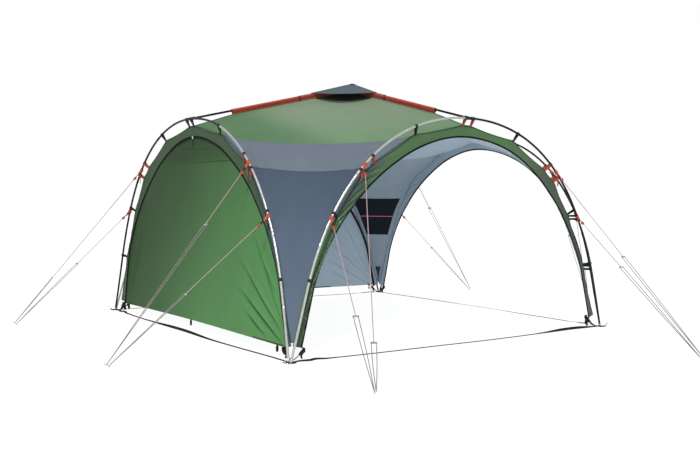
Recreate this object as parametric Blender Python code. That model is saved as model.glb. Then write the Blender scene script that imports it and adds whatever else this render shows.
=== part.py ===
"""Event shelter: arched hoop poles, roof poles, a sewn canopy, two curtain walls and guys down to pegs.

Metres, +Z up. The origin is on the ground, in the middle of the square between the four feet.
Each side is modelled as the front one, which faces -Y, and turned about Z. The corner pieces are modelled
at the front left corner and turned the same way.
"""

import math

import bmesh
import bpy
import numpy as np
from mathutils import Matrix, Vector
from mathutils.geometry import interpolate_bezier

# The square between the feet
HALF = 1.75
SIDES = {"front": 0, "right": 90, "back": 180, "left": 270}
CORNERS = {"front_left": 0, "front_right": 90, "back_right": 180, "back_left": 270}
CURTAIN_SIDES = ("left", "back")
POCKET_CORNER = "back_right"

# Hoop poles: a straight leg, then one smooth arch to the crown
POLE_RADIUS = 0.0095
HOOP_TOP = 1.88
HOOP_LEG_TOP = (1.594, 0.527)
HOOP_PULLS = (0.654, 0.981)
HOOP_STEPS = 12
FOOT_INSET = 0.0145
LEG_BASE = 0.0064
HOOP_ROUNDNESS = 2

# How far each hoop sways along its side and leans inwards, in full from SWAY_HEIGHT up. The sway fades out
# towards the crown, where the tee holds the hoop in the middle of the side.
HOOP_SWAYS = {"front": (-0.006, 0.007), "right": (-0.044, 0.007), "back": (0.0, 0.0), "left": (0.023, 0.016)}
SWAY_HEIGHT = 1.07
SWAY_FADE = 0.4

# Roof poles, their tees on the hoops and the hub that they meet in
ROOF_SLOPE = 0.24
SOCKET_RADIUS = 0.0145
SOCKET_BORE = 0.0105
TEE_LENGTH = 0.06
TEE_MARGIN = 0.006
TEE_REACH = 0.055
TEE_FLOOR = 0.0165
TEE_OVERLAP = 0.003
POLE_GAP = 0.001
HUB_RADIUS = 0.026
HUB_HEIGHT = 0.034
HUB_DROP = 0.002
HUB_REACH = 0.075
HUB_FLOOR = 0.034
SOCKET_ROOT = 0.010
SOCKET_SIDES = 12
HUB_SIDES = 16

# Canopy. Depths are inwards from the plane of the hoops.
FABRIC = 0.004
SEAM_GAP = 0.0025
BROW_DEPTH = 0.050
BROW_LEAN = 0.12
EDGE_TIES = (
    (0.045, 1.822),
    (0.555, 1.722),
    (0.965, 1.482),
    (1.085, 1.385),
    (1.31, 1.057),
    (1.535, 0.58),
    (1.69, 0.11),
)
EDGE_SCALLOP = 0.010
EDGE_STEPS = (1, 4, 3, 3, 3, 4, 4)
BROW_LEG_FOOT = (1.61, 0.09)
BROW_LEG_TOP = (1.517, 0.495)
BROW_PULLS = (0.60, 0.666)
BROW_TOP = 1.727
BROW_ROWS = 2

# How far the trim of a brow hangs out of place, at shares from one leg (-1) over the crown (0) to the other
# (1): along the side, inwards and up. The other brows hang straight.
BROW_HANGS = {
    "front": (
        (0.0, 0.0, 0.0, 0.0),
        (0.2, 0.030, -0.040, 0.0),
        (0.5, 0.006, -0.016, 0.0),
        (0.7, -0.004, -0.002, -0.008),
        (0.9, 0.027, -0.054, 0.0),
        (1.0, 0.021, -0.050, 0.0),
    ),
    "right": (
        (-1.0, -0.010, -0.030, 0.008),
        (-0.5, -0.038, -0.060, 0.038),
        (-0.25, -0.044, -0.066, 0.036),
        (0.0, -0.012, -0.028, 0.025),
        (0.5, -0.009, -0.023, 0.0),
        (1.0, -0.006, -0.020, 0.0),
    ),
}
STRAIGHT_HANG = ((0.0, 0.0, 0.0, 0.0),)
RIDGE_DROP = 0.036
RIDGE_START = 1.35
SLEEVE_START = 0.44
RIDGE_STEPS = (6, 3)
GORE_LEG = (0.30, 0.60, 0.82, 0.95)
GORE_COLUMNS = 7
GORE_TENSION = 1.0
GORE_ROUNDS = 1500
VENT_SAG = 0.035

# How many rows the cross seams of a corner are let down at its first border and in its middle
SEAM_SAG = (0.125, 0.21)

# Red sleeves that hold the roof poles on the ridges
SLEEVE_END = 1.62
SLEEVE_BORE = 0.0115
SLEEVE_RADIUS = 0.0135
SLEEVE_TAIL = 0.033
SLEEVE_HEM = 0.003
SLEEVE_WRAP = range(-20, 201, 20)
CUT_MARGIN = 0.01

# Cap and the netting below it
CAP_START = 1.32
CAP_CLEAR = 0.0165
CAP_TOP = 2.335
CAP_SAG = 0.012
CAP_STEPS = 6
NETTING = 0.002
NETTING_STEPS = 3
NETTING_START = 0.012
NETTING_DROP = 0.004

# Curtain walls
CURTAIN_DEPTH = 0.072
CURTAIN_HEM = 0.095
POCKET_HEIGHTS = (1.22, 0.75)
POCKET_MARGINS = (0.08, 0.13)
POCKET_ROWS = 4
POCKET_DEPTH = 0.007

# Webbing
WEBBING_WIDTH = 0.025
WEBBING = 0.002
TIE_WIDTH = 0.020
TIE_RADIUS = 0.0127
TIE_BENDS = 5
TIE_ROOT = 0.012
TIE_HEEL = 0.004
TIE_SPREAD = 0.0016
PAD_CENTRE = 1.745
PAD_HALF = 0.04
PAD_HEIGHT = 0.003
RING_RADIUS = 0.022
RING_WIRE = 0.003
RING_CENTRE = 1.788
RING_SIDES = (16, 6)
RING_LEAN = 50
TAB_WIDTH = 0.038
TAB_DEPTH = 0.0425
TAB_PATH = ((1.715, 0.0021), (1.685, 0.012), (1.60, 0.066))
BUCKLE = (0.050, 0.040, 0.014)
STRAP_END = 1.7045
STRAP_DEPTH = 0.012
STRAP_BOW = 0.03
STRAP_STEPS = 12

# Guys: which half of the side, how far along and how far out the peg stands, and the runners' places on
# the upper and the lower line, as shares of each from the hoop
GUYS = {
    "front_left": ("front", -1, 1.856, 1.159, (0.82, 0.61)),
    "front_right": ("front", 1, 0.900, 1.610, (0.50, 0.40)),
    "right_front": ("right", -1, 0.647, 1.160, (0.45, 0.50)),
    "right_back": ("right", 1, 1.321, 1.160, (0.25, 0.45)),
    "back_right": ("back", -1, 1.856, 1.159, (0.60, 0.50)),
    "back_left": ("back", 1, 0.900, 1.610, (0.50, 0.40)),
    "left_back": ("left", -1, 1.124, 1.160, (0.72, 0.49)),
    "left_front": ("left", 1, 1.242, 1.160, (0.33, 0.54)),
}
GUY_POINTS = ((1.075, 1.455), (1.40, 1.06))
GUY_RADIUS = 0.002
GUY_LOOP = 0.075
GUY_SIDES = 6
PEG_RADIUS = 0.0045
PEG_NECK = 0.012
PEG_TIP = (0.042, 0.038)
GUY_HOLDS = (0.55, 0.2)
RUNNER = (0.034, 0.016, 0.008)

COLOURS = {
    "silver_pole": ((0.62, 0.64, 0.65), 0.35, 0.9),
    "black_plastic": ((0.02, 0.02, 0.022), 0.5, 0.0),
    "green_fabric": ((0.13, 0.27, 0.12), 0.8, 0.0),
    "light_grey_fabric": ((0.17, 0.21, 0.25), 0.8, 0.0),
    "grey_blue_fabric": ((0.10, 0.13, 0.19), 0.8, 0.0),
    "red_fabric": ((0.48, 0.06, 0.03), 0.7, 0.0),
    "grey_fabric": ((0.10, 0.13, 0.15), 0.8, 0.0),
    "netting": ((0.02, 0.022, 0.025), 0.9, 0.0),
    "black_webbing": ((0.015, 0.015, 0.016), 0.8, 0.0),
    "guy_line": ((0.40, 0.20, 0.17), 0.7, 0.0),
}


def clear_scene():
    for old in list(bpy.data.objects):
        bpy.data.objects.remove(old, do_unlink=True)


def material(name):
    found = bpy.data.materials.get(name)
    if found:
        return found
    colour, roughness, metallic = COLOURS[name]
    made = bpy.data.materials.new(name)
    made.use_nodes = True
    shader = made.node_tree.nodes["Principled BSDF"]
    shader.inputs["Base Color"].default_value = (*colour, 1.0)
    shader.inputs["Roughness"].default_value = roughness
    shader.inputs["Metallic"].default_value = metallic
    return made


def place(name, data, turn=0, finish=None):
    """One object of the model, turned about Z by whole degrees."""
    made = bpy.data.objects.new(name, data)
    made.rotation_euler.z = math.radians(turn)
    bpy.context.collection.objects.link(made)
    if finish and not data.materials:
        data.materials.append(material(finish))
    return made


def front(along, depth, height):
    """A point of the front side: along it from its middle, inwards from the hoop, and up."""
    return Vector((along, depth - HALF, height))


def mesh_of(name, points, faces):
    mesh = bpy.data.meshes.new(name)
    mesh.from_pydata([tuple(p) for p in points], [], faces)
    mesh.update()
    return mesh


def shape(name, build):
    """A mesh filled by a function that works on a bmesh."""
    mesh = bpy.data.meshes.new(name)
    work = bmesh.new()
    build(work)
    bmesh.ops.recalc_face_normals(work, faces=work.faces)
    work.to_mesh(mesh)
    work.free()
    return mesh


def rod(name, start, end, radius, sides=8):
    """A closed cylinder from start to end."""
    run = Vector(end) - Vector(start)
    middle = (Vector(start) + Vector(end)) / 2
    place_it = Matrix.Translation(middle) @ run.to_track_quat("Z", "Y").to_matrix().to_4x4()
    size = {"segments": sides, "radius1": radius, "radius2": radius, "depth": run.length}
    return shape(name, lambda work: bmesh.ops.create_cone(work, cap_ends=True, matrix=place_it, **size))


def block(name, centre, size, turn=None):
    """A box of the given size, turned by a 3x3 matrix."""
    turned = (turn or Matrix.Identity(3)).to_4x4()
    place_it = Matrix.Translation(centre) @ turned @ Matrix.Diagonal((*size, 1.0))
    return shape(name, lambda work: bmesh.ops.create_cube(work, size=1.0, matrix=place_it))


def swept(name, sections, looped):
    """A closed body through equal sections, which are joined end to end or capped."""
    count, corners = len(sections), len(sections[0])
    points = [p for section in sections for p in section]
    faces = []
    for i in range(count if looped else count - 1):
        here, there = i * corners, (i + 1) % count * corners
        for j in range(corners):
            k = (j + 1) % corners
            faces.append((here + j, here + k, there + k, there + j))
    if not looped:
        faces.append(tuple(range(corners)))
        faces.append(tuple(range((count - 1) * corners, count * corners)))

    def build(work):
        made = [work.verts.new(p) for p in points]
        for face in faces:
            work.faces.new([made[i] for i in face])

    return shape(name, build)


def webbing_sections(path, across, width, thickness, looped=False):
    """Flat rectangles along a path. The webbing's width lies along one direction."""
    sections = []
    wide = Vector(across).normalized() * width / 2
    last = len(path) - 1
    for i, point in enumerate(path):
        before = path[i - 1] if looped or i else path[i]
        after = path[(i + 1) % len(path)] if looped or i < last else path[i]
        thin = wide.cross(after - before).normalized() * thickness / 2
        sections.append([point + offset for offset in (wide + thin, wide - thin, -wide - thin, thin - wide)])
    return sections


def wire_sections(path, radius, sides, looped=False):
    """Round sections along a path that lies in one plane or nearly so."""
    sections = []
    last = len(path) - 1
    for i, point in enumerate(path):
        before = path[i - 1] if looped or i else path[i]
        after = path[(i + 1) % len(path)] if looped or i < last else path[i]
        frame = (after - before).to_track_quat("Z", "Y").to_matrix()
        ring = [frame @ Vector((math.cos(a), math.sin(a), 0)) * radius for a in ring_angles(sides)]
        sections.append([point + offset for offset in ring])
    return sections


def ring_angles(sides):
    return [2 * math.pi * i / sides for i in range(sides)]


def combined(name, parts, operation="UNION"):
    """The first mesh joined with, or cut by, the others."""
    base = place(name + "_base", parts[0])
    helpers = [base]
    for i, part in enumerate(parts[1:]):
        helper = place(f"{name}_helper_{i}", part)
        helper.hide_render = True
        helper.display_type = "WIRE"
        helpers.append(helper)
        step = base.modifiers.new(f"join_{i}", "BOOLEAN")
        step.operation = operation
        step.solver = "EXACT"
        step.object = helper
    depsgraph = bpy.context.evaluated_depsgraph_get()
    made = bpy.data.meshes.new_from_object(base.evaluated_get(depsgraph))
    made.name = name
    for helper in helpers:
        bpy.data.objects.remove(helper, do_unlink=True)
    return made


def smooth(mesh, angle=40):
    mesh.shade_smooth()
    mesh.set_sharp_from_angle(angle=math.radians(angle))
    return mesh


def half_arch(leg_foot, leg_top, top, pulls, steps):
    """Points (along, height) from the foot of the leg to the crown."""
    foot, knee, crown = Vector(leg_foot), Vector(leg_top), Vector((0.0, top))
    rise = (knee - foot).normalized()
    curve = interpolate_bezier(knee, knee + rise * pulls[0], Vector((pulls[1], top)), crown, steps + 1)
    return [foot, *[Vector(p[:2]) for p in curve]]


def mirrored(half):
    """The whole arch, from the left foot over the crown to the right foot."""
    left = [Vector((-p.x, p.y)) for p in half]
    return left + [Vector((p.x, p.y)) for p in reversed(half) if p.x > 0]


def hoop_line(side):
    """The centre line of one side's hoop. It runs straight through the tee at its crown."""
    foot = (HALF - FOOT_INSET, LEG_BASE)
    half = half_arch(foot, HOOP_LEG_TOP, HOOP_TOP, HOOP_PULLS, HOOP_STEPS)
    half[-1] = Vector((TEE_LENGTH / 2 + TEE_MARGIN, HOOP_TOP))
    sway, lean = HOOP_SWAYS[side]
    line = []
    for along, height in mirrored(half):
        climb = min(1.0, height / SWAY_HEIGHT)
        share = climb * (2 - climb)
        along += sway * share * min(1.0, abs(along) / SWAY_FADE)
        line.append(front(along, lean * share, height + ROOF_SLOPE * lean * share))
    return line


def on_line(line, point):
    """The nearest point of a polyline, and the polyline's direction there."""
    best = None
    for a, b in zip(line, line[1:]):
        run = b - a
        share = min(1.0, max(0.0, (point - a).dot(run) / run.length_squared))
        spot = a + run * share
        if best is None or (spot - point).length < (best[0] - point).length:
            best = (spot, run.normalized())
    return best


def canopy_edge_half():
    """The sewn edge of the canopy from the crown down one leg, and the index of each tie on it.

    The edge is pulled straight between the ties, and hollows a little there.
    """
    knots = [Vector((0.0, EDGE_TIES[0][1])), *[Vector(tie) for tie in EDGE_TIES]]
    points, ties = [knots[0]], []
    for a, b, steps in zip(knots, knots[1:], EDGE_STEPS):
        run = b - a
        inward = Vector((run.y, -run.x)).normalized()
        for i in range(1, steps + 1):
            share = i / steps
            hollow = EDGE_SCALLOP * 4 * share * (1 - share) if steps > 1 else 0.0
            points.append(a + run * share + inward * hollow)
        ties.append(len(points) - 1)
    return points, ties


def lengths(line):
    """The length of a polyline up to each of its points."""
    return np.concatenate([[0.0], np.cumsum([(b - a).length for a, b in zip(line, line[1:])])])


def matched(line, model):
    """Points of one polyline at the same shares of its length as the points of another."""
    along, wanted = lengths(line), lengths(model)
    wanted *= along[-1] / wanted[-1]
    return [Vector([float(np.interp(w, along, [p[k] for p in line])) for k in range(2)]) for w in wanted]


def at_share(line, share):
    """The point at a share of a polyline whose points are evenly spaced."""
    spot = share * (len(line) - 1)
    before = min(int(spot), len(line) - 2)
    return line[before].lerp(line[before + 1], spot - before)


def ridge_height(depth):
    """Height of the ridge seam under a roof pole. Outside the sleeve it falls away to the brow."""
    sleeve_foot = HOOP_TOP + ROOF_SLOPE * SLEEVE_START - RIDGE_DROP
    if depth >= SLEEVE_START:
        return HOOP_TOP + ROOF_SLOPE * depth - RIDGE_DROP
    share = (depth - BROW_DEPTH) / (SLEEVE_START - BROW_DEPTH)
    return EDGE_TIES[0][1] + (sleeve_foot - EDGE_TIES[0][1]) * share


def gore_grid():
    """The membrane of one corner, from the vent to the foot, as rows of points.

    Its edges are the two ridges and the two canopy edges. Between them the fabric takes the shape of a
    stretched net: every inner point settles at the mean of its neighbours. Returns the grid and the rows
    of the two cross seams.
    """
    depths = [RIDGE_START, SLEEVE_START, BROW_DEPTH + SEAM_GAP + FABRIC / 2]
    side = []
    for a, b, steps in zip(depths, depths[1:], RIDGE_STEPS):
        side += [front(-SEAM_GAP, d, ridge_height(d)) for d in np.linspace(a, b, steps, endpoint=False)]
    crown_row = len(side)
    edge, ties = canopy_edge_half()
    leg = edge[ties[-2] :]
    edge = edge[: ties[-2] + 1] + [at_share(leg, share) for share in GORE_LEG]
    edge_depth = BROW_DEPTH + SEAM_GAP + FABRIC / 2
    for point in edge:
        side.append(front(-max(point.x, SEAM_GAP), edge_depth, point.y))
    seams = [crown_row + ties[1], crown_row + ties[2] + 1]
    front_side = np.array([tuple(p) for p in side])
    left_side = front_side[:, [1, 0, 2]]
    across = np.linspace(0, 1, GORE_COLUMNS + 1)[None, :, None]
    grid = front_side[:, None] * (1 - across) + left_side[:, None] * across
    grid[0, :, 2] -= VENT_SAG * 4 * across[0, :, 0] * (1 - across[0, :, 0])
    for _ in range(GORE_ROUNDS):
        down = grid[:-2, 1:-1] + grid[2:, 1:-1]
        over = grid[1:-1, :-2] + grid[1:-1, 2:]
        grid[1:-1, 1:-1] = (down * GORE_TENSION + over) / (2 * GORE_TENSION + 2)
    return sagged(grid, seams), seams


def sagged(grid, seams):
    """The same membrane with its rows let down round the two cross seams."""
    last = len(grid) - 1
    rows = np.arange(len(grid))
    columns = np.arange(grid.shape[1])
    across = columns / columns[-1]
    drop = SEAM_SAG[0] * (1 - across) + SEAM_SAG[1] * 4 * across * (1 - across)
    spots = rows[:, None] + np.interp(rows, (0, *seams, last), (0, 1, 1, 0))[:, None] * drop
    low = np.minimum(spots.astype(int), last - 1)
    share = (spots - low)[:, :, None]
    return grid[low, columns] * (1 - share) + grid[low + 1, columns] * share


def rows_between(grid, first, last, open_first=True, open_last=True):
    """A slice of the grid, with a thin gap left at each cross seam."""
    part = grid[first : last + 1].copy()
    for here, inside, wanted in ((0, 1, open_first), (-1, -2, open_last)):
        if wanted:
            step = part[inside] - part[here]
            length = np.linalg.norm(step, axis=1, keepdims=True)
            part[here] += step / length * SEAM_GAP / 2
    return part


def grid_mesh(name, grid):
    rows, columns = grid.shape[:2]
    points = grid.reshape(-1, 3)
    faces = [
        (r * columns + c, r * columns + c + 1, (r + 1) * columns + c + 1, (r + 1) * columns + c)
        for r in range(rows - 1)
        for c in range(columns - 1)
    ]
    return mesh_of(name, points, faces)


def thick(made, thickness, offset=0.0):
    """Gives a sheet its thickness, half on each side unless offset says otherwise."""
    step = made.modifiers.new("thickness", "SOLIDIFY")
    step.thickness = thickness
    step.offset = offset
    step.use_rim = True
    return made


def make_hoops():
    for side, turn in SIDES.items():
        line = hoop_line(side)
        data = bpy.data.curves.new("hoop", "CURVE")
        data.dimensions = "3D"
        data.bevel_depth = POLE_RADIUS
        data.bevel_resolution = HOOP_ROUNDNESS
        data.use_fill_caps = True
        spline = data.splines.new("POLY")
        spline.points.add(len(line) - 1)
        for point, place_it in zip(spline.points, line):
            point.co = (*place_it, 1.0)
        place(f"hoop_{side}", data, turn, "silver_pole")


def roof_pole_point(depth):
    return front(0, depth, HOOP_TOP + ROOF_SLOPE * depth)


def make_roof_poles():
    """Each pole is fused to the tee that rides on its hoop."""
    reach, past = Vector((TEE_LENGTH / 2, 0, 0)), Vector((TEE_LENGTH, 0, 0))
    for side, turn in SIDES.items():
        lean = HOOP_SWAYS[side][1]
        crown = roof_pole_point(lean)
        body = rod("tee_body", crown - reach, crown + reach, SOCKET_RADIUS, SOCKET_SIDES)
        stub = rod("tee_stub", crown, roof_pole_point(lean + TEE_REACH), SOCKET_RADIUS, SOCKET_SIDES)
        bore = rod("tee_bore", crown - past, crown + past, SOCKET_BORE, SOCKET_SIDES)
        shell = combined("tee_shell", [combined("tee_solid", [body, stub]), bore], "DIFFERENCE")
        start = roof_pole_point(lean + TEE_FLOOR - TEE_OVERLAP)
        pole = rod("pole", start, roof_pole_point(HALF - HUB_FLOOR - POLE_GAP), POLE_RADIUS)
        place(f"roof_pole_{side}", smooth(combined("roof_pole", [shell, pole])), turn, "silver_pole")


def make_hub():
    lift = Vector((0, 0, HUB_HEIGHT / 2))
    centre = roof_pole_point(HALF) - Vector((0, 0, HUB_DROP))
    solid = rod("hub_body", centre - lift, centre + lift, HUB_RADIUS, HUB_SIDES)
    stubs, bores = [], []
    for turn in SIDES.values():
        spin = Matrix.Rotation(math.radians(turn), 3, "Z")
        inner, outer = spin @ roof_pole_point(HALF - SOCKET_ROOT), spin @ roof_pole_point(HALF - HUB_REACH)
        floor, past = spin @ roof_pole_point(HALF - HUB_FLOOR), spin @ roof_pole_point(HALF - 2 * HUB_REACH)
        stubs.append(rod("hub_stub", inner, outer, SOCKET_RADIUS, SOCKET_SIDES))
        bores.append(rod("hub_bore", floor, past, SOCKET_BORE, SOCKET_SIDES))
    joined = combined("hub_solid", [solid, *stubs])
    place("hub", smooth(combined("hub", [joined, *bores], "DIFFERENCE")), 0, "black_plastic")


def make_canopy(grid, seams):
    top, light = seams
    roof = grid_mesh("roof_panel", rows_between(grid, 0, top, open_first=False))
    band = grid_mesh("corner_band", rows_between(grid, top, light))
    corner = grid_mesh("corner_panel", rows_between(grid, light, len(grid) - 1, open_last=False))
    for name, turn in CORNERS.items():
        thick(place(f"roof_panel_{name}", roof, turn, "green_fabric"), FABRIC)
        thick(place(f"corner_band_{name}", band, turn, "light_grey_fabric"), FABRIC)
        thick(place(f"corner_panel_{name}", corner, turn, "grey_blue_fabric"), FABRIC)


def brow_borders(side):
    """The canopy's edge over an arched opening, the trim that hangs from it, and the ties on the edge."""
    half, ties = canopy_edge_half()
    outer = [Vector((-p.x, p.y)) for p in reversed(half)] + [Vector((p.x, p.y)) for p in half[1:]]
    crown = len(half) - 1
    trim = mirrored(half_arch(BROW_LEG_FOOT, BROW_LEG_TOP, BROW_TOP, BROW_PULLS, HOOP_STEPS))
    along = lengths(outer)
    shares = 2 * along / along[-1] - 1
    hang = np.array(BROW_HANGS.get(side, STRAIGHT_HANG)).T
    edge, rim = [], []
    for point, spot, share in zip(outer, matched(trim, outer), shares):
        slip = Vector([float(np.interp(share, hang[0], hang[k])) for k in (1, 2, 3)])
        edge.append(front(point.x, BROW_DEPTH, point.y))
        rim.append(front(spot.x, BROW_DEPTH + BROW_LEAN * (spot - point).length, spot.y) + slip)
    return edge, rim, [crown + way * tie for tie in ties[:-1] for way in (-1, 1)]


def loop_round(pole, tail, across):
    """A closed webbing loop from its tail round a pole, which runs in the direction across, and back."""
    square = (pole - tail) - across * (pole - tail).dot(across)
    reach = square.normalized()
    sideways = across.cross(reach)
    wrap = math.pi / 2 + math.asin(TIE_RADIUS / square.length)
    turns = np.linspace(-wrap, wrap, TIE_BENDS)
    bend = [pole + (reach * math.cos(a) + sideways * math.sin(a)) * TIE_RADIUS for a in turns]
    heel = tail + reach * TIE_HEEL
    path = [tail, heel - sideways * TIE_SPREAD, *bend, heel + sideways * TIE_SPREAD]
    return swept("loop", webbing_sections(path, across, TIE_WIDTH, WEBBING, looped=True), looped=True)


def brow_tie(edge, rim, line):
    """A loop from the face of the brow, just inside its edge, round the hoop."""
    spot, along = on_line(line, edge)
    tail = edge + (rim - edge).normalized() * TIE_ROOT - Vector((0, WEBBING / 4, 0))
    return loop_round(spot, tail, along)


def make_brows():
    for side, turn in SIDES.items():
        edge, rim, ties = brow_borders(side)
        rows = np.array([[tuple(a.lerp(b, share)) for a, b in zip(edge, rim)]
                         for share in np.linspace(0, 1, BROW_ROWS)])
        sheet = place("brow_sheet", grid_mesh("brow_sheet", rows))
        thick(sheet, FABRIC)
        depsgraph = bpy.context.evaluated_depsgraph_get()
        band = bpy.data.meshes.new_from_object(sheet.evaluated_get(depsgraph))
        bpy.data.objects.remove(sheet, do_unlink=True)
        line = hoop_line(side)
        loops = [brow_tie(edge[i], rim[i], line) for i in ties]
        place(f"brow_{side}", combined("brow", [band, *loops]), turn, "green_fabric")


def make_sleeves():
    """A flat red sleeve round each roof pole, with its tail sewn to the ridge."""
    start, end = roof_pole_point(SLEEVE_START), roof_pole_point(SLEEVE_END)
    run = (end - start).normalized()
    side = Vector((1, 0, 0))
    up = side.cross(run).normalized()
    if up.z < 0:
        up = -up
    wrap = [math.radians(a) for a in SLEEVE_WRAP]
    outline = [(side * math.cos(a) + up * math.sin(a)) * SLEEVE_RADIUS for a in wrap]
    outline += [side * half * SLEEVE_HEM / 2 - up * SLEEVE_TAIL for half in (-1, 1)]
    hull = swept("sleeve_hull", [[start + p for p in outline], [end + p for p in outline]], looped=False)
    bore = rod("sleeve_bore", start - run * CUT_MARGIN, end + run * CUT_MARGIN, SLEEVE_BORE, SOCKET_SIDES)
    whole = smooth(combined("sleeve", [hull, bore], "DIFFERENCE"))
    for name, turn in SIDES.items():
        place(f"sleeve_{name}", whole, turn, "red_fabric")


def make_cap():
    """A shallow four-sided cap. Its corners lie on the ridges, and its sides hollow a little."""
    corner = roof_pole_point(CAP_START) + Vector((0, 0, CAP_CLEAR))
    rim = []
    for turn in SIDES.values():
        spin = Matrix.Rotation(math.radians(turn), 3, "Z")
        here, there = spin @ corner, spin @ Matrix.Rotation(math.radians(90), 3, "Z") @ corner
        for share in np.linspace(0, 1, CAP_STEPS, endpoint=False):
            hollow = 4 * share * (1 - share) * CAP_SAG
            spot = here.lerp(there, share)
            spot -= Vector((spot.x, spot.y, 0)).normalized() * hollow
            spot.z -= hollow / 2
            rim.append(spot)
    points = [Vector((0, 0, CAP_TOP)), *rim]
    count = len(rim)
    faces = [(0, 1 + i, 1 + (i + 1) % count) for i in range(count)]
    thick(place("cap", mesh_of("cap", points, faces), 0, "grey_fabric"), FABRIC, 1.0)


def make_netting(grid):
    """Dark netting that closes the vent below the cap, from the roof panels' top edges up to the hub."""
    edge = grid[0]
    drop = np.array([0, 0, NETTING_DROP])
    top = np.array([0, 0, ridge_height(HALF)]) - drop
    rim = []
    for turn in CORNERS.values():
        spin = np.array(Matrix.Rotation(math.radians(turn), 3, "Z"))
        rim += [spin @ p for p in edge[::-1]]
    rim = np.array(rim)
    shares = np.linspace(NETTING_START, 1, NETTING_STEPS, endpoint=False)
    rings = [rim + (top - rim) * s - drop for s in shares]
    points = [tuple(p) for ring in rings for p in ring] + [tuple(top - drop)]
    count = len(rim)
    faces = []
    for r in range(len(rings) - 1):
        for i in range(count):
            j = (i + 1) % count
            faces.append((r * count + i, r * count + j, (r + 1) * count + j, (r + 1) * count + i))
    last = (len(rings) - 1) * count
    faces += [(last + i, last + (i + 1) % count, len(points) - 1) for i in range(count)]
    thick(place("vent_netting", mesh_of("vent_netting", points, faces), 0, "netting"), NETTING)


def make_curtains():
    """Each curtain hangs behind the trim of its brow, down to a straight hem."""
    line = mirrored(half_arch(BROW_LEG_FOOT, BROW_LEG_TOP, BROW_TOP, BROW_PULLS, HOOP_STEPS))
    outline = [front(p.x, CURTAIN_DEPTH, max(p.y, CURTAIN_HEM)) for p in line]
    mesh = mesh_of("curtain", outline, [tuple(range(len(outline)))])
    for side in CURTAIN_SIDES:
        thick(place(f"curtain_{side}", mesh, SIDES[side], "green_fabric"), FABRIC)


def make_pocket(grid):
    """A netting pocket on the inner face of one corner panel, wide at the top and narrow at the bottom."""
    middle = grid[:, GORE_COLUMNS // 2, 2]
    columns = np.linspace(0, 1, GORE_COLUMNS + 1)
    inward = np.array([1, 1, -0.35]) / np.linalg.norm([1, 1, -0.35]) * POCKET_DEPTH
    part = []
    for share in np.linspace(0, 1, POCKET_ROWS):
        height = POCKET_HEIGHTS[0] + (POCKET_HEIGHTS[1] - POCKET_HEIGHTS[0]) * share
        margin = POCKET_MARGINS[0] + (POCKET_MARGINS[1] - POCKET_MARGINS[0]) * share
        row = float(np.interp(-height, -middle, range(len(middle))))
        low = min(int(row), len(grid) - 2)
        level = grid[low] * (low + 1 - row) + grid[low + 1] * (row - low)
        wanted = np.linspace(margin, 1 - margin, GORE_COLUMNS + 1)
        part.append(np.stack([np.interp(wanted, columns, level[:, k]) for k in range(3)], axis=1) + inward)
    made = place("mesh_pocket", grid_mesh("mesh_pocket", np.array(part)), CORNERS[POCKET_CORNER], "netting")
    thick(made, NETTING)


def make_feet():
    """A webbing pad under the two pole ends, a leaning steel ring, and a buckled tab up to each brow."""
    corner = Vector((-PAD_CENTRE, -PAD_CENTRE, PAD_HEIGHT / 2))
    parts = [block("pad", corner, (2 * PAD_HALF, 2 * PAD_HALF, PAD_HEIGHT))]
    lean = math.radians(RING_LEAN)
    rise = Vector((-1, -1, 0)).normalized() * math.cos(lean) + Vector((0, 0, math.sin(lean)))
    level = Vector((1, -1, 0)).normalized()
    middle = Vector((-RING_CENTRE, -RING_CENTRE, RING_WIRE + RING_RADIUS * rise.z))
    turns = ring_angles(RING_SIDES[0])
    ring = [middle + (level * math.cos(a) + rise * math.sin(a)) * RING_RADIUS for a in turns]
    parts.append(swept("ring", wire_sections(ring, RING_WIRE, RING_SIDES[1], looped=True), looped=True))
    swap = Matrix(((0, 1, 0), (1, 0, 0), (0, 0, 1)))
    path = [front(-along, TAB_DEPTH, height) for along, height in TAB_PATH]
    for turn in (Matrix.Identity(3), swap):
        run = [turn @ p for p in path]
        across = turn @ Vector((0, 1, 0))
        parts.append(swept("tab", webbing_sections(run, across, TAB_WIDTH, WEBBING), looped=False))
        rise = (run[2] - run[1]).normalized()
        frame = Matrix((rise, across, rise.cross(across))).transposed()
        if frame.determinant() < 0:
            frame = Matrix((rise, across, across.cross(rise))).transposed()
        parts.append(block("buckle", run[2] - rise * BUCKLE[0] / 3, BUCKLE, frame))
    whole = combined("foot", parts)
    for name, turn in CORNERS.items():
        place(f"foot_{name}", whole, turn, "black_webbing")


def make_ground_straps():
    """Flat webbing on the ground from foot to foot, bowed outwards a little."""
    path = []
    for along in np.linspace(-STRAP_END, STRAP_END, STRAP_STEPS + 1):
        bow = STRAP_BOW * math.cos(math.pi / 2 * along / STRAP_END)
        path.append(front(float(along), STRAP_DEPTH - bow, WEBBING / 2))
    across = Vector((0, 1, 0))
    mesh = swept("ground_strap", webbing_sections(path, across, WEBBING_WIDTH, WEBBING), looped=False)
    for side, turn in SIDES.items():
        place(f"ground_strap_{side}", mesh, turn, "black_webbing")


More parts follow.
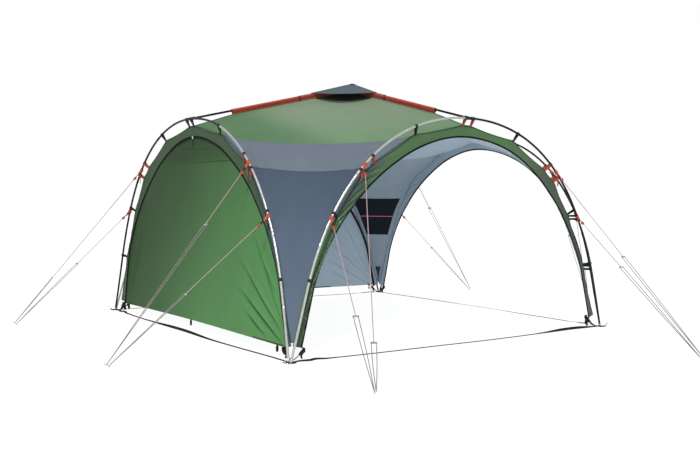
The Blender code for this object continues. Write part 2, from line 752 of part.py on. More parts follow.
def guy_parts(hoop, half, peg_along, peg_out, runners):
    """A peg, and two lines down to it from webbing loops round the hoop, each with its runner."""
    foot = front(half * peg_along, -peg_out, 0)
    neck = foot + Vector((0, 0, PEG_NECK - PEG_RADIUS / 2))
    tip = foot + Vector((0, -PEG_TIP[0], PEG_TIP[1]))
    parts = [rod("peg", foot, foot + Vector((0, 0, PEG_NECK)), PEG_RADIUS)]
    parts.append(rod("peg_head", neck, tip, PEG_RADIUS))
    for point, share, hold in zip(GUY_POINTS, runners, GUY_HOLDS):
        pole, along = on_line(hoop, front(half * point[0], 0, point[1]))
        end = neck.lerp(tip, hold)
        run = (end - pole).normalized()
        start = pole + run * GUY_LOOP
        parts.append(loop_round(pole, start, along))
        parts.append(rod("line", start - run * WEBBING, end, GUY_RADIUS, GUY_SIDES))
        frame = run.to_track_quat("X", "Z").to_matrix()
        parts.append(block("runner", pole.lerp(end, share), RUNNER, frame))
    return parts


def make_guys():
    for name, (side, half, peg_along, peg_out, runners) in GUYS.items():
        whole = combined(f"guy_{name}", guy_parts(hoop_line(side), half, peg_along, peg_out, runners))
        place(f"guy_{name}", whole, SIDES[side], "guy_line")


def main():
    clear_scene()
    grid, seams = gore_grid()
    make_hoops()
    make_roof_poles()
    make_hub()
    make_canopy(grid, seams)
    make_brows()
    make_sleeves()
    make_cap()
    make_netting(grid)
    make_curtains()
    make_pocket(grid)
    make_feet()
    make_ground_straps()
    make_guys()


main()
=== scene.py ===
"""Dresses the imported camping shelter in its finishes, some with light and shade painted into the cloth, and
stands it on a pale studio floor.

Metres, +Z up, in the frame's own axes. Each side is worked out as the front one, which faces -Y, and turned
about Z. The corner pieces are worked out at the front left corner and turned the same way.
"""

import math

import bmesh
import bpy
import numpy as np
from mathutils import Matrix, Vector
from mathutils.geometry import interpolate_bezier


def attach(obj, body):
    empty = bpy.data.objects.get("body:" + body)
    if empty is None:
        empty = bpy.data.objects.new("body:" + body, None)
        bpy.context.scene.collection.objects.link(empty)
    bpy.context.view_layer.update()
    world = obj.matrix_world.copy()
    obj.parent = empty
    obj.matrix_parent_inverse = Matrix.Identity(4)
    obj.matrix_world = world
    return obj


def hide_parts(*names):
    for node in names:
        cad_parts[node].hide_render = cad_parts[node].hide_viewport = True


bl_info = {
    "name": "Camping Shelter",
    "version": (1, 0, 0),
    "blender": (4, 5, 0),
    "location": "View3D > Sidebar > Shelter",
    "description": "Poles, sewn canopy, curtains, webbing and guys of a square camping shelter",
    "category": "Add Mesh",
}

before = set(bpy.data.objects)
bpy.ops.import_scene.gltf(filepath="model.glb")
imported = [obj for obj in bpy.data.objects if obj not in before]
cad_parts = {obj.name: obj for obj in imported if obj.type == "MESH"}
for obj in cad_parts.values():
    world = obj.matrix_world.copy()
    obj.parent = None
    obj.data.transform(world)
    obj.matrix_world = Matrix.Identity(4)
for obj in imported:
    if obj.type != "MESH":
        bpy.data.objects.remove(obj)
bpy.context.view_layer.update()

HALF = 1.75
SIDES = {"front": 0, "right": 90, "back": 180, "left": 270}
CORNERS = {"front_left": 0, "front_right": 90, "back_right": 180, "back_left": 270}

# Hoop poles
HOOP_TOP = 1.88
HOOP_LEG_TOP = (1.594, 0.527)
HOOP_PULLS = (0.654, 0.981)
HOOP_FOOT = (1.7355, 0.0064)
HOOP_STEPS = 48
# How far each hoop is pulled along its side and inwards, in full from a certain height and distance on
HOOP_SWAYS = {"front": (-0.006, 0.007), "right": (-0.044, 0.007), "back": (0.0, 0.0), "left": (0.023, 0.016)}
SWAY_HEIGHT = 1.07
SWAY_FADE = 0.4
SECTION_JOINTS = (-2.1, -1.48, -0.84, -0.2, 0.44, 1.08, 1.72, 2.3)
SECTION_SHIFTS = {"front": 0.17, "left": 0.13}
DARK_SECTIONS = {"front": (0.0, 9.0), "right": (-9.0, 9.0), "back": (-9.0, 0.6), "left": (-9.0, 0.6)}

# Roof poles, tees and hub
ROOF_SLOPE = 0.24
TEE_HALF = 0.03
TEE_REACH = 0.055
# Lengths back from the mouth of a socket, and its radii there
SOCKET_STEPS = (0.012, 0.010, 0.001, 0.0)
SOCKET_RADII = (0.0132, 0.0132, 0.0145, 0.0145, 0.0118)
HUB_RADIUS = 0.026
HUB_HEIGHT = 0.034
HUB_DROP = 0.002
HUB_REACH = 0.075
HUB_FLOOR = 0.034

# Canopy. Depths are inwards from the plane of the hoops.
BROW_DEPTH = 0.050
BROW_LEAN = 0.12
EDGE_TIES = (
    (0.045, 1.822),
    (0.555, 1.722),
    (0.965, 1.482),
    (1.085, 1.385),
    (1.31, 1.057),
    (1.535, 0.58),
    (1.69, 0.11),
)
EDGE_SCALLOP = 0.010
EDGE_STEPS = (1, 4, 3, 3, 3, 4, 4)
EDGE_GAP = 0.0045
BROW_LEG_FOOT = (1.61, 0.09)
BROW_LEG_TOP = (1.517, 0.495)
BROW_PULLS = (0.60, 0.666)
BROW_TOP = 1.727
BROW_ROWS = 22
BROW_FOLDS = {"front": (1.4, 0.4), "right": (0.5, 0.5), "back": (0.35, 0.35), "left": (0.3, 0.3)}
# Where the trim is pulled from its even line: share of the edge from -1 to 1, then along, inwards and up
BROW_HANGS = {
    "front": (
        (0.0, 0.0, 0.0, 0.0),
        (0.2, 0.030, -0.040, 0.0),
        (0.5, 0.006, -0.016, 0.0),
        (0.7, -0.006, -0.002, -0.008),
        (0.85, -0.018, -0.020, 0.0),
        (1.0, -0.016, -0.040, 0.0),
    ),
    "right": (
        (-1.0, -0.010, -0.030, 0.008),
        (-0.5, -0.038, -0.060, 0.038),
        (-0.25, -0.044, -0.066, 0.036),
        (0.0, -0.012, -0.028, 0.025),
        (0.5, -0.009, -0.023, 0.0),
        (1.0, -0.006, -0.020, 0.0),
    ),
}
STRAIGHT_HANG = ((0.0, 0.0, 0.0, 0.0),)
HANG_ROUNDS = 20
# Folds of a brow: their number along it, their slant down it, and how far they wander
FOLD_PACE = 40.0
FOLD_SLANT = 17.0
FOLD_WANDER = 1.6
FOLD_SHARE = 0.62
# Where the folds grow from the crown and fade to the foot: distance along the edge, and the length it takes
FOLDS_GROW = (0.75, 0.45)
FOLDS_FADE = (2.75, 0.4)
CROWN_FOLDS = 0.12
TIE_ROOT = 0.012
# Ties, counted from the crown down: the red ones of each side, the wide, the double and the loose-ended
RED_TIES = {"front": (0, 2, 3), "right": (2, 3), "back": (2, 3), "left": (2, 3)}
WIDE_TIES = (2, 3)
PAIRED_TIES = (4, 5)
LOOSE_TAIL = 3
RIDGE_DROP = 0.036
RIDGE_START = 1.35
SLEEVE_START = 0.44
SLEEVE_END = 1.62
RIDGE_STEPS = (6, 3)
GORE_LEG = (0.0, 0.30, 0.60, 0.82, 0.95)
GORE_COLUMNS = 7
GORE_ROUNDS = (1500, 500)
VENT_SAG = 0.048
SEAM_SAG = (0.125, 0.21)
FINE = 4
# Folds that fan out from a tie: depth, number, reach and bare root. The last is the depth of the uneven wave.
FAN_DEPTH = 0.006
FAN_PACE = 15
FAN_REACH = 0.22
FAN_ROOT = 0.05
PANEL_WAVE = 0.0035

# Sleeves, cap and vent
SLEEVE_RADIUS = 0.0134
SLEEVE_HEM = 0.02
SLEEVE_WAVE = 0.0016
SLEEVE_SAG = 0.0015
# Half width, half height and drop of the laced wrap
LACE = (0.0165, 0.027, 0.011)
# Half width and drop of the sewn flap below the pole
SLEEVE_FLAP = ((0.0016, 0.038), (0.0022, 0.026), (0.006, 0.018))
SLEEVE_WRAP = 1.16
CAP_START = 1.30
CAP_LEAN = (0.025, -0.018)
CAP_CLEAR = 0.0165
CAP_TOP = 2.335
CAP_SAG = 0.012
CAP_ROWS = 14
CAP_COLUMNS = 25
CAP_HOLLOW = 0.010
CAP_WAVE = 0.0015
NETTING_DROP = 0.004

# Curtains
CURTAIN_DEPTH = 0.072
CURTAIN_HEM = 0.095
CURTAIN_SEAM = 1.50
CURTAIN_COLUMNS = 261
CURTAIN_ROWS = 170
CURTAIN_TUCK = 0.012
CURTAIN_SPREAD = 1.1
CURTAIN_RIM = 0.07
CURTAIN_WAVE = 0.006
CURTAIN_BULGE = 0.010
HEM_DIP = 0.014
# Start, end and depth of each crease of the left wall. The back wall has them on its other hand. They also
# place the painted shade in the creases.
CURTAIN_CREASES = (
    ((0.932, 0.288), (1.281, 0.120), 0.010),
    ((0.846, 0.454), (1.530, 0.100), 0.013),
    ((0.872, 0.673), (1.500, 0.190), 0.013),
    ((1.169, 0.758), (1.502, 0.276), 0.010),
    ((1.088, 0.897), (1.426, 0.457), 0.010),
    ((-1.158, 0.884), (-1.360, 0.437), 0.006),
    ((-1.30, 0.60), (-1.50, 0.20), 0.006),
    ((-0.50, 1.62), (0.52, 1.60), 0.005),
)
CREASE_LIFT = {"left": 1.8, "back": 0.5}
HEM_LOOPS = (-1.53, -0.06, 1.45)

# Pocket
POCKET_HEIGHTS = (1.19, 0.75)
POCKET_MARGINS = (0.08, 0.13)
POCKET_DEPTH = 0.007
POCKET_TRIM = 11

# Feet and ground straps
PAD_CENTRE = 1.745
PAD_HALF = 0.04
PAD_HEIGHT = 0.003
RING_CENTRE = 1.788
RING_RADIUS = 0.022
RING_WIRE = 0.003
RING_LEAN = 50
TAB_PATH = ((1.715, 0.004), (1.685, 0.013), (1.60, 0.066), (1.602, 0.095))
TAB_DEPTH = 0.0425
TAB_WIDTH = 0.040
# Steps of a tab: all, the one where it widens, the two ends of the buckle, and the start of the loose end
TAB_STEPS = 16
TAB_WIDENS = 8
BUCKLE_STEPS = (9, 13)
TAIL_STEP = 11
BUCKLE = (0.050, 0.042, 0.012)
STRAP_END = 1.7045
STRAP_DEPTH = 0.012
STRAP_BOW = 0.03
STRAP_WAVE = 0.006
# The kinked end of a strap: middle and reach from its foot, depth and pace of the kinks, and how far it turns
KINK_PLACE = (0.16, 0.13)
KINK_DEPTH = 0.014
KINK_PACE = 38.0
KINK_TURN = 25
# Where each strap stands on its edge: middle and reach along it, and the angle. The others lie nearly flat.
STRAP_TURNS = {"front": (1.32, 0.26, 75), "left": (-0.1, 0.45, 62)}
FLAT_TURN = (-0.1, 0.45, 12)

# Guys: side, half of the side, how far along and out the peg stands, and the runners' places on the two lines
GUYS = {
    "front_left": ("front", -1, 1.856, 1.159, (0.82, 0.61)),
    "front_right": ("front", 1, 0.900, 1.610, (0.50, 0.40)),
    "right_front": ("right", -1, 0.647, 1.160, (0.45, 0.50)),
    "right_back": ("right", 1, 1.321, 1.160, (0.25, 0.45)),
    "back_right": ("back", -1, 1.856, 1.159, (0.60, 0.50)),
    "back_left": ("back", 1, 0.900, 1.610, (0.50, 0.40)),
    "left_back": ("left", -1, 1.124, 1.160, (0.72, 0.49)),
    "left_front": ("left", 1, 1.242, 1.160, (0.33, 0.54)),
}
GUY_POINTS = ((1.075, 1.455), (1.40, 1.06))
GUY_HOLDS = (0.55, 0.2)
# Distances from the hoop along a guy: its loop, its two toggles, its strap and the start of its cord
GUY_LOOP = 0.056
GUY_TOGGLES = (0.028, 0.103)
GUY_STRAP = (0.046, 0.092)
GUY_CORD = 0.116
PEG_NECK = 0.012
PEG_RADIUS = 0.0045
PEG_TIP = (0.042, 0.038)

# Turned shapes: stops along each, and its radii there. Ferrules and ends say how far they stand off the pole.
FERRULE = ((-1, -0.94, 0, 0.94, 1), (-0.0001, 0.0007, 0.0007, 0.0007, -0.0001))
POLE_END = ((0.0, 0.003, 0.020, 0.022), (-0.002, 0.0006, 0.0006, 0.0))
ROOF_FERRULE = ((-1, -0.94, 0.94, 1), (0.0, 0.0009, 0.0009, 0.0))
TEE_STOPS = (-1, -0.96, -0.72, -0.68, 0.68, 0.72, 0.96, 1)
TEE_RADII = (0.0118, 0.0145, 0.0145, 0.0132, 0.0132, 0.0145, 0.0145, 0.0118)
HUB_SHAPE = ((-1, -0.92, -0.7, 0.7, 0.92, 1), (0.72, 0.92, 1.0, 1.0, 0.92, 0.72))
CLIP_HALF = 0.013
CLIP_SHAPE = ((-1, -0.86, -0.80, 0.80, 0.86, 1), (0.0100, 0.0128, 0.0138, 0.0138, 0.0128, 0.0100))
COLLAR_HALF = 0.020
COLLAR_SHAPE = ((-1, -0.86, 0.86, 1), (0.0102, 0.0150, 0.0150, 0.0102))
ROOF_JOINTS = (0.36, 0.72)
JOINT_CLEAR = 0.01
SLIM = 0.0002

# Making of the pieces
POLE_SIDES = 20
SOCKET_SIDES = 24
CORD_SIDES = 8
TAPE_THICKNESS = 0.0012
LIGHT_WEBBING = 0.0016
TIE_WEBBING = 0.0018
HEAVY_WEBBING = 0.0022
TAB_WEBBING = 0.0024
TIE_LOOP = 0.0118
WELD = 1e-5
TINY = 1e-6
SEEDS = {"canopy": 11, "sleeve_wave": 31, "sleeve_sag": 41, "cap": 61, "curtain": 71, "ground_strap": 91}
SHARP_ANGLE = 38
CRINKLE_STRETCH = (1.0, 1.0, 0.35)

# Stage
FLOOR_REACH = 60.0
FRAME_WIDTH = 700.0
SUN_ANGLE = 12
SUN_FROM = (-0.50, -0.55, 0.65)


def tint(name, description, default):
    return bpy.props.FloatVectorProperty(name=name, description=description, default=default, subtype="COLOR")


def metres(name, description, default):
    return bpy.props.FloatProperty(name=name, description=description, default=default, unit="LENGTH")


def bearing(name, description, degrees):
    default = math.radians(degrees)
    return bpy.props.FloatProperty(name=name, description=description, default=default, subtype="ANGLE")


def amount(name, description, default):
    return bpy.props.FloatProperty(name=name, description=description, default=default)


class PoleSettings(bpy.types.PropertyGroup):
    """Poles and their fittings"""

    radius: metres("Pole radius", "Outside radius of the poles", 0.0095)
    ferrule: metres("Ferrule", "Length of the joint between two pole sections", 0.05)
    silver: tint("Silver", "Colour of the bright sections", (0.52, 0.54, 0.52))
    dark: tint("Dark", "Colour of the dark sections", (0.016, 0.016, 0.016))


class FabricSettings(bpy.types.PropertyGroup):
    """Sewn fabric"""

    roof: tint("Roof", "Roof panels", (0.140, 0.200, 0.129))
    brow: tint("Brow", "Bands round the arches", (0.058, 0.122, 0.050))
    # Wall and wall shade hold painted light and shade: wall shade is the darker upper end of a curtain wall,
    # wall its lit low end.
    wall: tint("Wall", "Curtain walls", (0.070, 0.204, 0.065))
    shade: tint("Wall shade", "Deeper tone of the curtain walls", (0.0175, 0.047, 0.0135))
    pale: tint("Pale grey", "Upper band of the corners", (0.098, 0.121, 0.150))
    # Slate and slate, low hold painted shade: a corner panel goes from the darker slate at the top to the
    # lighter slate, low near the foot.
    slate: tint("Slate", "Corner panels", (0.040, 0.060, 0.090))
    slate_low: tint("Slate, low", "Corner panels near the foot", (0.080, 0.109, 0.155))
    inner: tint("Inner coating", "Inside faces", (0.330, 0.415, 0.490))
    cap: tint("Cap", "The cap over the vent", (0.062, 0.084, 0.096))
    red: tint("Red", "Sleeves on the ridges", (0.31, 0.048, 0.030))
    thickness: metres("Thickness", "Thickness of the coated cloth", 0.0012)
    thread: metres("Thread", "Spacing of the weave", 0.0014)
    fold_depth: metres("Fold depth", "Depth of the folds in the brows", 0.011)


class WebbingSettings(bpy.types.PropertyGroup):
    """Webbing, ties and plastic"""

    width: metres("Webbing width", "Width of the ground straps", 0.025)
    tie_width: metres("Tie width", "Width of the ties on the hoops", 0.020)
    red: tint("Red", "Red ties and toggles", (0.36, 0.072, 0.046))


class GuySettings(bpy.types.PropertyGroup):
    """Guy lines and pegs"""

    radius: metres("Cord radius", "Radius of the guy lines", 0.0032)
    spread: metres("Spread", "Distance of the two strands at the runner", 0.034)
    colour: tint("Cord colour", "Colour of the guy lines", (0.33, 0.22, 0.22))
    low_colour: tint("Lower colour", "Colour of the strands at the peg", (0.17, 0.135, 0.135))


class StageSettings(bpy.types.PropertyGroup):
    """Camera, light and floor"""

    place: bpy.props.FloatVectorProperty(
        name="Camera", description="Place of the camera", default=(-5.0914, -7.1643, 1.2163), unit="LENGTH"
    )
    heading: bearing("Heading", "From +Y towards +X", 35.553)
    tilt: bearing("Tilt", "Downwards", 2.4032)
    roll: bearing("Roll", "Clockwise", 0.6335)
    focal: amount("Focal", "Focal length in pixels of a 700 wide frame", 877.96)
    backdrop: amount("Backdrop", "Strength of the white behind the shelter", 1.0)
    floor: amount("Floor", "Own light of the pale floor", 0.93)
    surround: amount("Surround", "Strength of the light from all round", 0.60)
    sun: amount("Sun", "Strength of the soft sun", 3.2)


SETTINGS = {
    "shelter_poles": PoleSettings,
    "shelter_fabric": FabricSettings,
    "shelter_webbing": WebbingSettings,
    "shelter_guys": GuySettings,
    "shelter_stage": StageSettings,
}


class Wire:
    """A value in a material's nodes. Arithmetic on it adds Math nodes."""

    def __init__(self, finish, socket):
        self.finish = finish
        self.socket = socket

    def math(self, operation, *values):
        return self.finish.node("ShaderNodeMath", dict(enumerate(values)), operation=operation)

    def __add__(self, other):
        return self.math("ADD", self, other)

    def __sub__(self, other):
        return self.math("SUBTRACT", self, other)

    def __rsub__(self, other):
        return self.math("SUBTRACT", other, self)

    def __mul__(self, other):
        return self.math("MULTIPLY", self, other)

    def __truediv__(self, other):
        return self.math("DIVIDE", self, other)

    def __rtruediv__(self, other):
        return self.math("DIVIDE", other, self)

    __radd__ = __add__
    __rmul__ = __mul__

    def sine(self):
        return self.math("SINE", self)

    def bell(self):
        return self.math("EXPONENT", self * self * -1.0)

    def least(self, other):
        return self.math("MINIMUM", self, other)

    def over(self, low, high):
        """0 at low and below, 1 at high and above."""
        sockets = {"Value": self, "From Min": low, "From Max": high}
        return self.finish.node("ShaderNodeMapRange", sockets, interpolation_type="SMOOTHSTEP")


class Graph:
    """The nodes of a material or of the surround."""

    def __init__(self, owner):
        owner.use_nodes = True
        self.tree = owner.node_tree

    def node(self, kind, sockets, output=0, **settings):
        made = self.tree.nodes.new(kind)
        for key, value in settings.items():
            setattr(made, key, value)
        for key, value in sockets.items():
            self.join(made.inputs[key], value)
        return Wire(self, made.outputs[output])

    def join(self, socket, value):
        if isinstance(value, Wire):
            self.tree.links.new(value.socket, socket)
        elif hasattr(value, "__len__") and len(value) == 3 and len(socket.default_value) == 4:
            socket.default_value = (*value, 1.0)
        else:
            socket.default_value = value

    def split(self, vector):
        return [self.node("ShaderNodeSeparateXYZ", {0: vector}, output=i) for i in range(3)]


class Finish(Graph):
    """A material round one Principled shader."""

    def __init__(self, name, roughness, metallic=0.0, **constants):
        self.material = bpy.data.materials.new(name)
        super().__init__(self.material)
        self.shader = self.tree.nodes["Principled BSDF"]
        self.feed("Roughness", roughness)
        self.feed("Metallic", metallic)
        for key, value in constants.items():
            self.feed(key.replace("_", " "), value)

    def feed(self, key, value):
        self.join(self.shader.inputs[key], value)

    def place(self):
        return self.node("ShaderNodeTexCoord", {}, output="Object")

    def weave(self):
        """Metres across and along the cloth or the part."""
        coordinates = self.node("ShaderNodeUVMap", {}, uv_map="weave")
        return coordinates, *self.split(coordinates)[:2]

    def noise(self, where, scale, detail=2.0, stretch=None):
        if stretch:
            where = self.node("ShaderNodeVectorMath", {0: where, 1: stretch}, operation="MULTIPLY")
        return self.node("ShaderNodeTexNoise", {"Vector": where, "Scale": scale, "Detail": detail})

    def toned(self, colour, amount):
        return self.node("ShaderNodeVectorMath", {0: colour, "Scale": amount}, operation="SCALE")

    def mixed(self, share, a, b):
        return self.node("ShaderNodeMix", {0: share, 6: a, 7: b}, output=2, data_type="RGBA")

    def bump(self, height, strength, distance):
        sockets = {"Height": height, "Strength": strength, "Distance": distance}
        self.feed("Normal", self.node("ShaderNodeBump", sockets))


def shaded(colour, *factors):
    """A colour times one factor, or times one for each channel."""
    return [float(c) for c in np.multiply(colour, factors)]


def fabric(name, colour, thread, roughness=0.72, crinkle=0.14, paints=()):
    """Coated woven cloth: fine threads, soft crinkles, a broad unevenness of tone, and painted areas, most of
    them painted light and shade.
    """
    made = Finish(name, roughness, Specular_IOR_Level=0.18, Sheen_Weight=0.03, Sheen_Roughness=0.5)
    where = made.place()
    _, across, along = made.weave()
    threads = (across * (math.tau / thread)).sine() * (along * (math.tau / thread)).sine()
    broad = made.noise(where, 1.4, 3.0)
    soft = made.noise(where, 7.0, 3.0, CRINKLE_STRETCH)
    creased = made.noise(where, 26.0, 4.0, CRINKLE_STRETCH)
    tone = (broad - 0.5) * 0.22 + (soft - 0.5) * 0.16 + threads * 0.035 + 1.0
    colour = tuple(colour)
    for paint, share in paints:
        colour = made.mixed(share(made, where, across, along), colour, tuple(paint))
    made.feed("Base Color", made.toned(colour, tone))
    made.bump(soft * 4.0 + creased + threads * 0.03, crinkle, 0.006)
    return made.material


def lit_towards_low_end(made, where, across, along):
    """Painted light and shade: 0 at the darker top of one end of a wall, 1 low at its lit other end."""
    return (across * 0.30 - along * 0.28 + 0.62).over(0.0, 1.0)


# Painted light and shade: 0 at the darker top of a corner panel, 1 at its lighter foot.
def lit_towards_foot(made, where, across, along):
    return made.split(where)[2].over(1.5, 0.1)


# Painted light and shade: 1 in the lighter middle of the roof, 0 at its darker edges.
def lit_towards_middle(made, where, across, along):
    x, y, _ = made.split(where)
    return (x * x + y * y).over(3.6, 0.6)


# Painted shade: a darker band at the top of a wall, above its seam, under the brow.
def shade_over_the_seam(made, where, across, along):
    return along.over(1.47, 1.56) * 0.4


def shade_in_the_creases(made, where, across, along):
    """Painted shade: dark lines along the creases of a curtain wall."""
    total = 0.0
    for start, end, depth in CURTAIN_CREASES:
        run = np.subtract(end, start)
        length = float(np.linalg.norm(run))
        run = [float(r) for r in run / length]
        reach = (across - start[0]) * run[0] + (along - start[1]) * run[1]
        off = (along - start[1]) * run[0] - (across - start[0]) * run[1]
        middle = ((reach - length / 2) / (length * 0.36)).bell()
        total = (off / (0.008 + 0.9 * depth)).bell() * middle * min(0.8, depth * 75) + total
    return total.least(1.0)


# Painted shade: 1 on the left band, which is drawn darker.
def shade_on_the_left(made, where, across, along):
    x, y, _ = made.split(where)
    return (x - y).over(0.0, -0.09)


# Painted shade: rising to 1 right of the crown, where the band is drawn darker.
def shade_right_of_the_crown(made, where, across, along):
    return made.split(where)[0].over(0.35, 1.15)


def outer_strip(made, where, across, along):
    """The strip along the edge of the front band, above its lower guy on the left."""
    x, y, z = made.split(where)
    return along.over(0.05, 0.03) * x.over(-0.78, -0.90) * z.over(1.02, 1.12) * y.over(-1.60, -1.64)


def by_the_front_band(made, where):
    """1 in the strip of the front left corner panel that lies next to the front band, and the height."""
    x, y, z = made.split(where)
    border = z * 0.05 + z * z * 0.30
    return (x - y - border * 0.86).over(0.0, 0.015), z


# Painted shade: the strip of the corner panel next to the front band, high up, drawn darker.
def shaded_strip(made, where, across, along):
    strip, z = by_the_front_band(made, where)
    return strip * z.over(1.00, 1.10)


def green_strip(made, where, across, along):
    strip, z = by_the_front_band(made, where)
    return strip * z.over(1.10, 1.00)


# Painted shade: rising to 1 on the far left of the roof.
def shade_far_left(made, where, across, along):
    return made.split(where)[0].over(-0.85, -1.35)


def low_and_mottled(made, where, across, along):
    spots = made.noise(where, 34.0, 4.0).over(0.38, 0.62)
    return made.split(where)[2].over(0.62, 0.22) * (spots * 0.5 + 0.35)


def roof_fabric(settings):
    # Painted light and shade: darker roof colours at the edges and darker still on the far left, the roof
    # colour in the middle.
    left = shaded(settings.roof, 0.46, 0.68, 0.50)
    paints = ((settings.roof, lit_towards_middle), (left, shade_far_left))
    return fabric("roof_cloth_green", shaded(settings.roof, 0.70, 0.95, 0.70), settings.thread, paints=paints)


def brow_fabric(settings):
    # The first two paints are painted shade: the left band and the right of the crown drawn darker.
    paints = (
        ((0.036, 0.068, 0.034), shade_on_the_left),
        ((0.054, 0.078, 0.052), shade_right_of_the_crown),
        ((0.060, 0.080, 0.080), outer_strip),
        ((0.072, 0.076, 0.064), low_and_mottled),
    )
    return fabric("brow_cloth_green", settings.brow, settings.thread, crinkle=0.2, paints=paints)


def wall_fabric(settings):
    # Painted light and shade: a darker upper end, a lit low end, a darker band above the seam, and dark lines
    # in the creases.
    paints = (
        (settings.wall, lit_towards_low_end),
        (shaded(settings.shade, 0.4), shade_over_the_seam),
        ((0.018, 0.080, 0.018), shade_in_the_creases),
    )
    return fabric("wall_cloth_green", settings.shade, settings.thread, crinkle=0.08, paints=paints)


def slate_fabric(settings):
    # Painted light and shade: darker at the top, lighter near the foot, and a darker strip by the front band;
    # a green strip lower down.
    paints = (
        (settings.slate_low, lit_towards_foot),
        ((0.045, 0.062, 0.074), shaded_strip),
        ((0.052, 0.098, 0.044), green_strip),
    )
    return fabric("slate_cloth", settings.slate, settings.thread, paints=paints)


def seam_tape(name, colour):
    """A narrow sewn tape with two rows of stitches."""
    made = Finish(name, 0.8, Specular_IOR_Level=0.08)
    cloth, across, along = made.weave()
    dashes = (along * (math.tau / 0.0045)).sine().over(-0.2, 0.2)
    rows = (across * (math.tau / 0.008)).sine().over(0.75, 0.95)
    stitches = dashes * rows
    shade = made.mixed(stitches, tuple(colour), tuple(min(1.0, 1.5 * c + 0.03) for c in colour))
    made.feed("Base Color", shade)
    made.bump(stitches * -1.0 + made.noise(cloth, 90.0, 2.0) * 0.6, 0.6, 0.001)
    return made.material


def woven(name, colour):
    """Webbing: raised ribs along it, crossed by fine picks."""
    made = Finish(name, 0.78, Specular_IOR_Level=0.08, Sheen_Weight=0.02)
    _, across, along = made.weave()
    ribs = (across * (math.tau / 0.003)).sine()
    picks = (along * (math.tau / 0.0016)).sine()
    worn = made.noise(made.place(), 45.0, 3.0)
    tone = ribs * 0.10 + picks * 0.08 + (worn - 0.5) * 0.5 + 1.0
    made.feed("Base Color", made.toned(colour, tone))
    made.bump(ribs + picks * 0.6, 0.5, 0.0006)
    return made.material


def steel(name, colour, roughness):
    """Drawn tube: fine lines along it, a few smudges, and dull scuffs."""
    made = Finish(name, roughness, metallic=0.85)
    cloth, _, _ = made.weave()
    drawn = made.noise(cloth, 60.0, 3.0, (12.0, 0.4, 1.0))
    smudges = made.noise(made.place(), 8.0, 4.0)
    made.feed("Base Color", made.toned(colour, (drawn - 0.5) * 0.25 + (smudges - 0.5) * 0.2 + 1.0))
    made.feed("Roughness", (smudges - 0.5) * 0.35 + drawn * 0.1 + roughness)
    made.bump(drawn, 0.08, 0.0005)
    return made.material


def moulded(name, colour, roughness):
    """Moulded plastic: a fine grain, with paler rubbed places."""
    made = Finish(name, roughness, Specular_IOR_Level=0.25)
    grain = made.noise(made.place(), 900.0, 2.0)
    rubbed = made.noise(made.place(), 40.0, 4.0)
    made.feed("Base Color", made.toned(colour, rubbed.over(0.55, 0.8) * 0.45 + 1.0))
    made.feed("Roughness", rubbed * 0.25 + (roughness - 0.1))
    made.bump(grain, 0.15, 0.0004)
    return made.material


def netting(name, colour):
    """Fine netting, closed enough to look solid from a few metres."""
    made = Finish(name, 0.85, Specular_IOR_Level=0.12)
    _, across, along = made.weave()
    holes = (across * (math.tau / 0.0022)).sine() * (along * (math.tau / 0.0022)).sine()
    made.feed("Base Color", made.toned(colour, holes.over(-0.3, 0.3) * 0.7 + 0.65))
    made.bump(holes, 0.5, 0.0006)
    return made.material


def braided(name, colour):
    """Guy cord with a paler fleck."""
    made = Finish(name, 0.7)
    _, across, along = made.weave()
    twist = (across * (math.tau / 0.007) + along * (math.tau / 0.010)).sine()
    cross = (across * (math.tau / 0.007) - along * (math.tau / 0.010)).sine()
    fleck = (twist * cross).over(0.45, 0.7)
    made.feed("Base Color", made.mixed(fleck, colour, tuple(c * 0.6 + 0.14 for c in colour)))
    made.bump(twist * cross, 0.5, 0.0008)
    return made.material


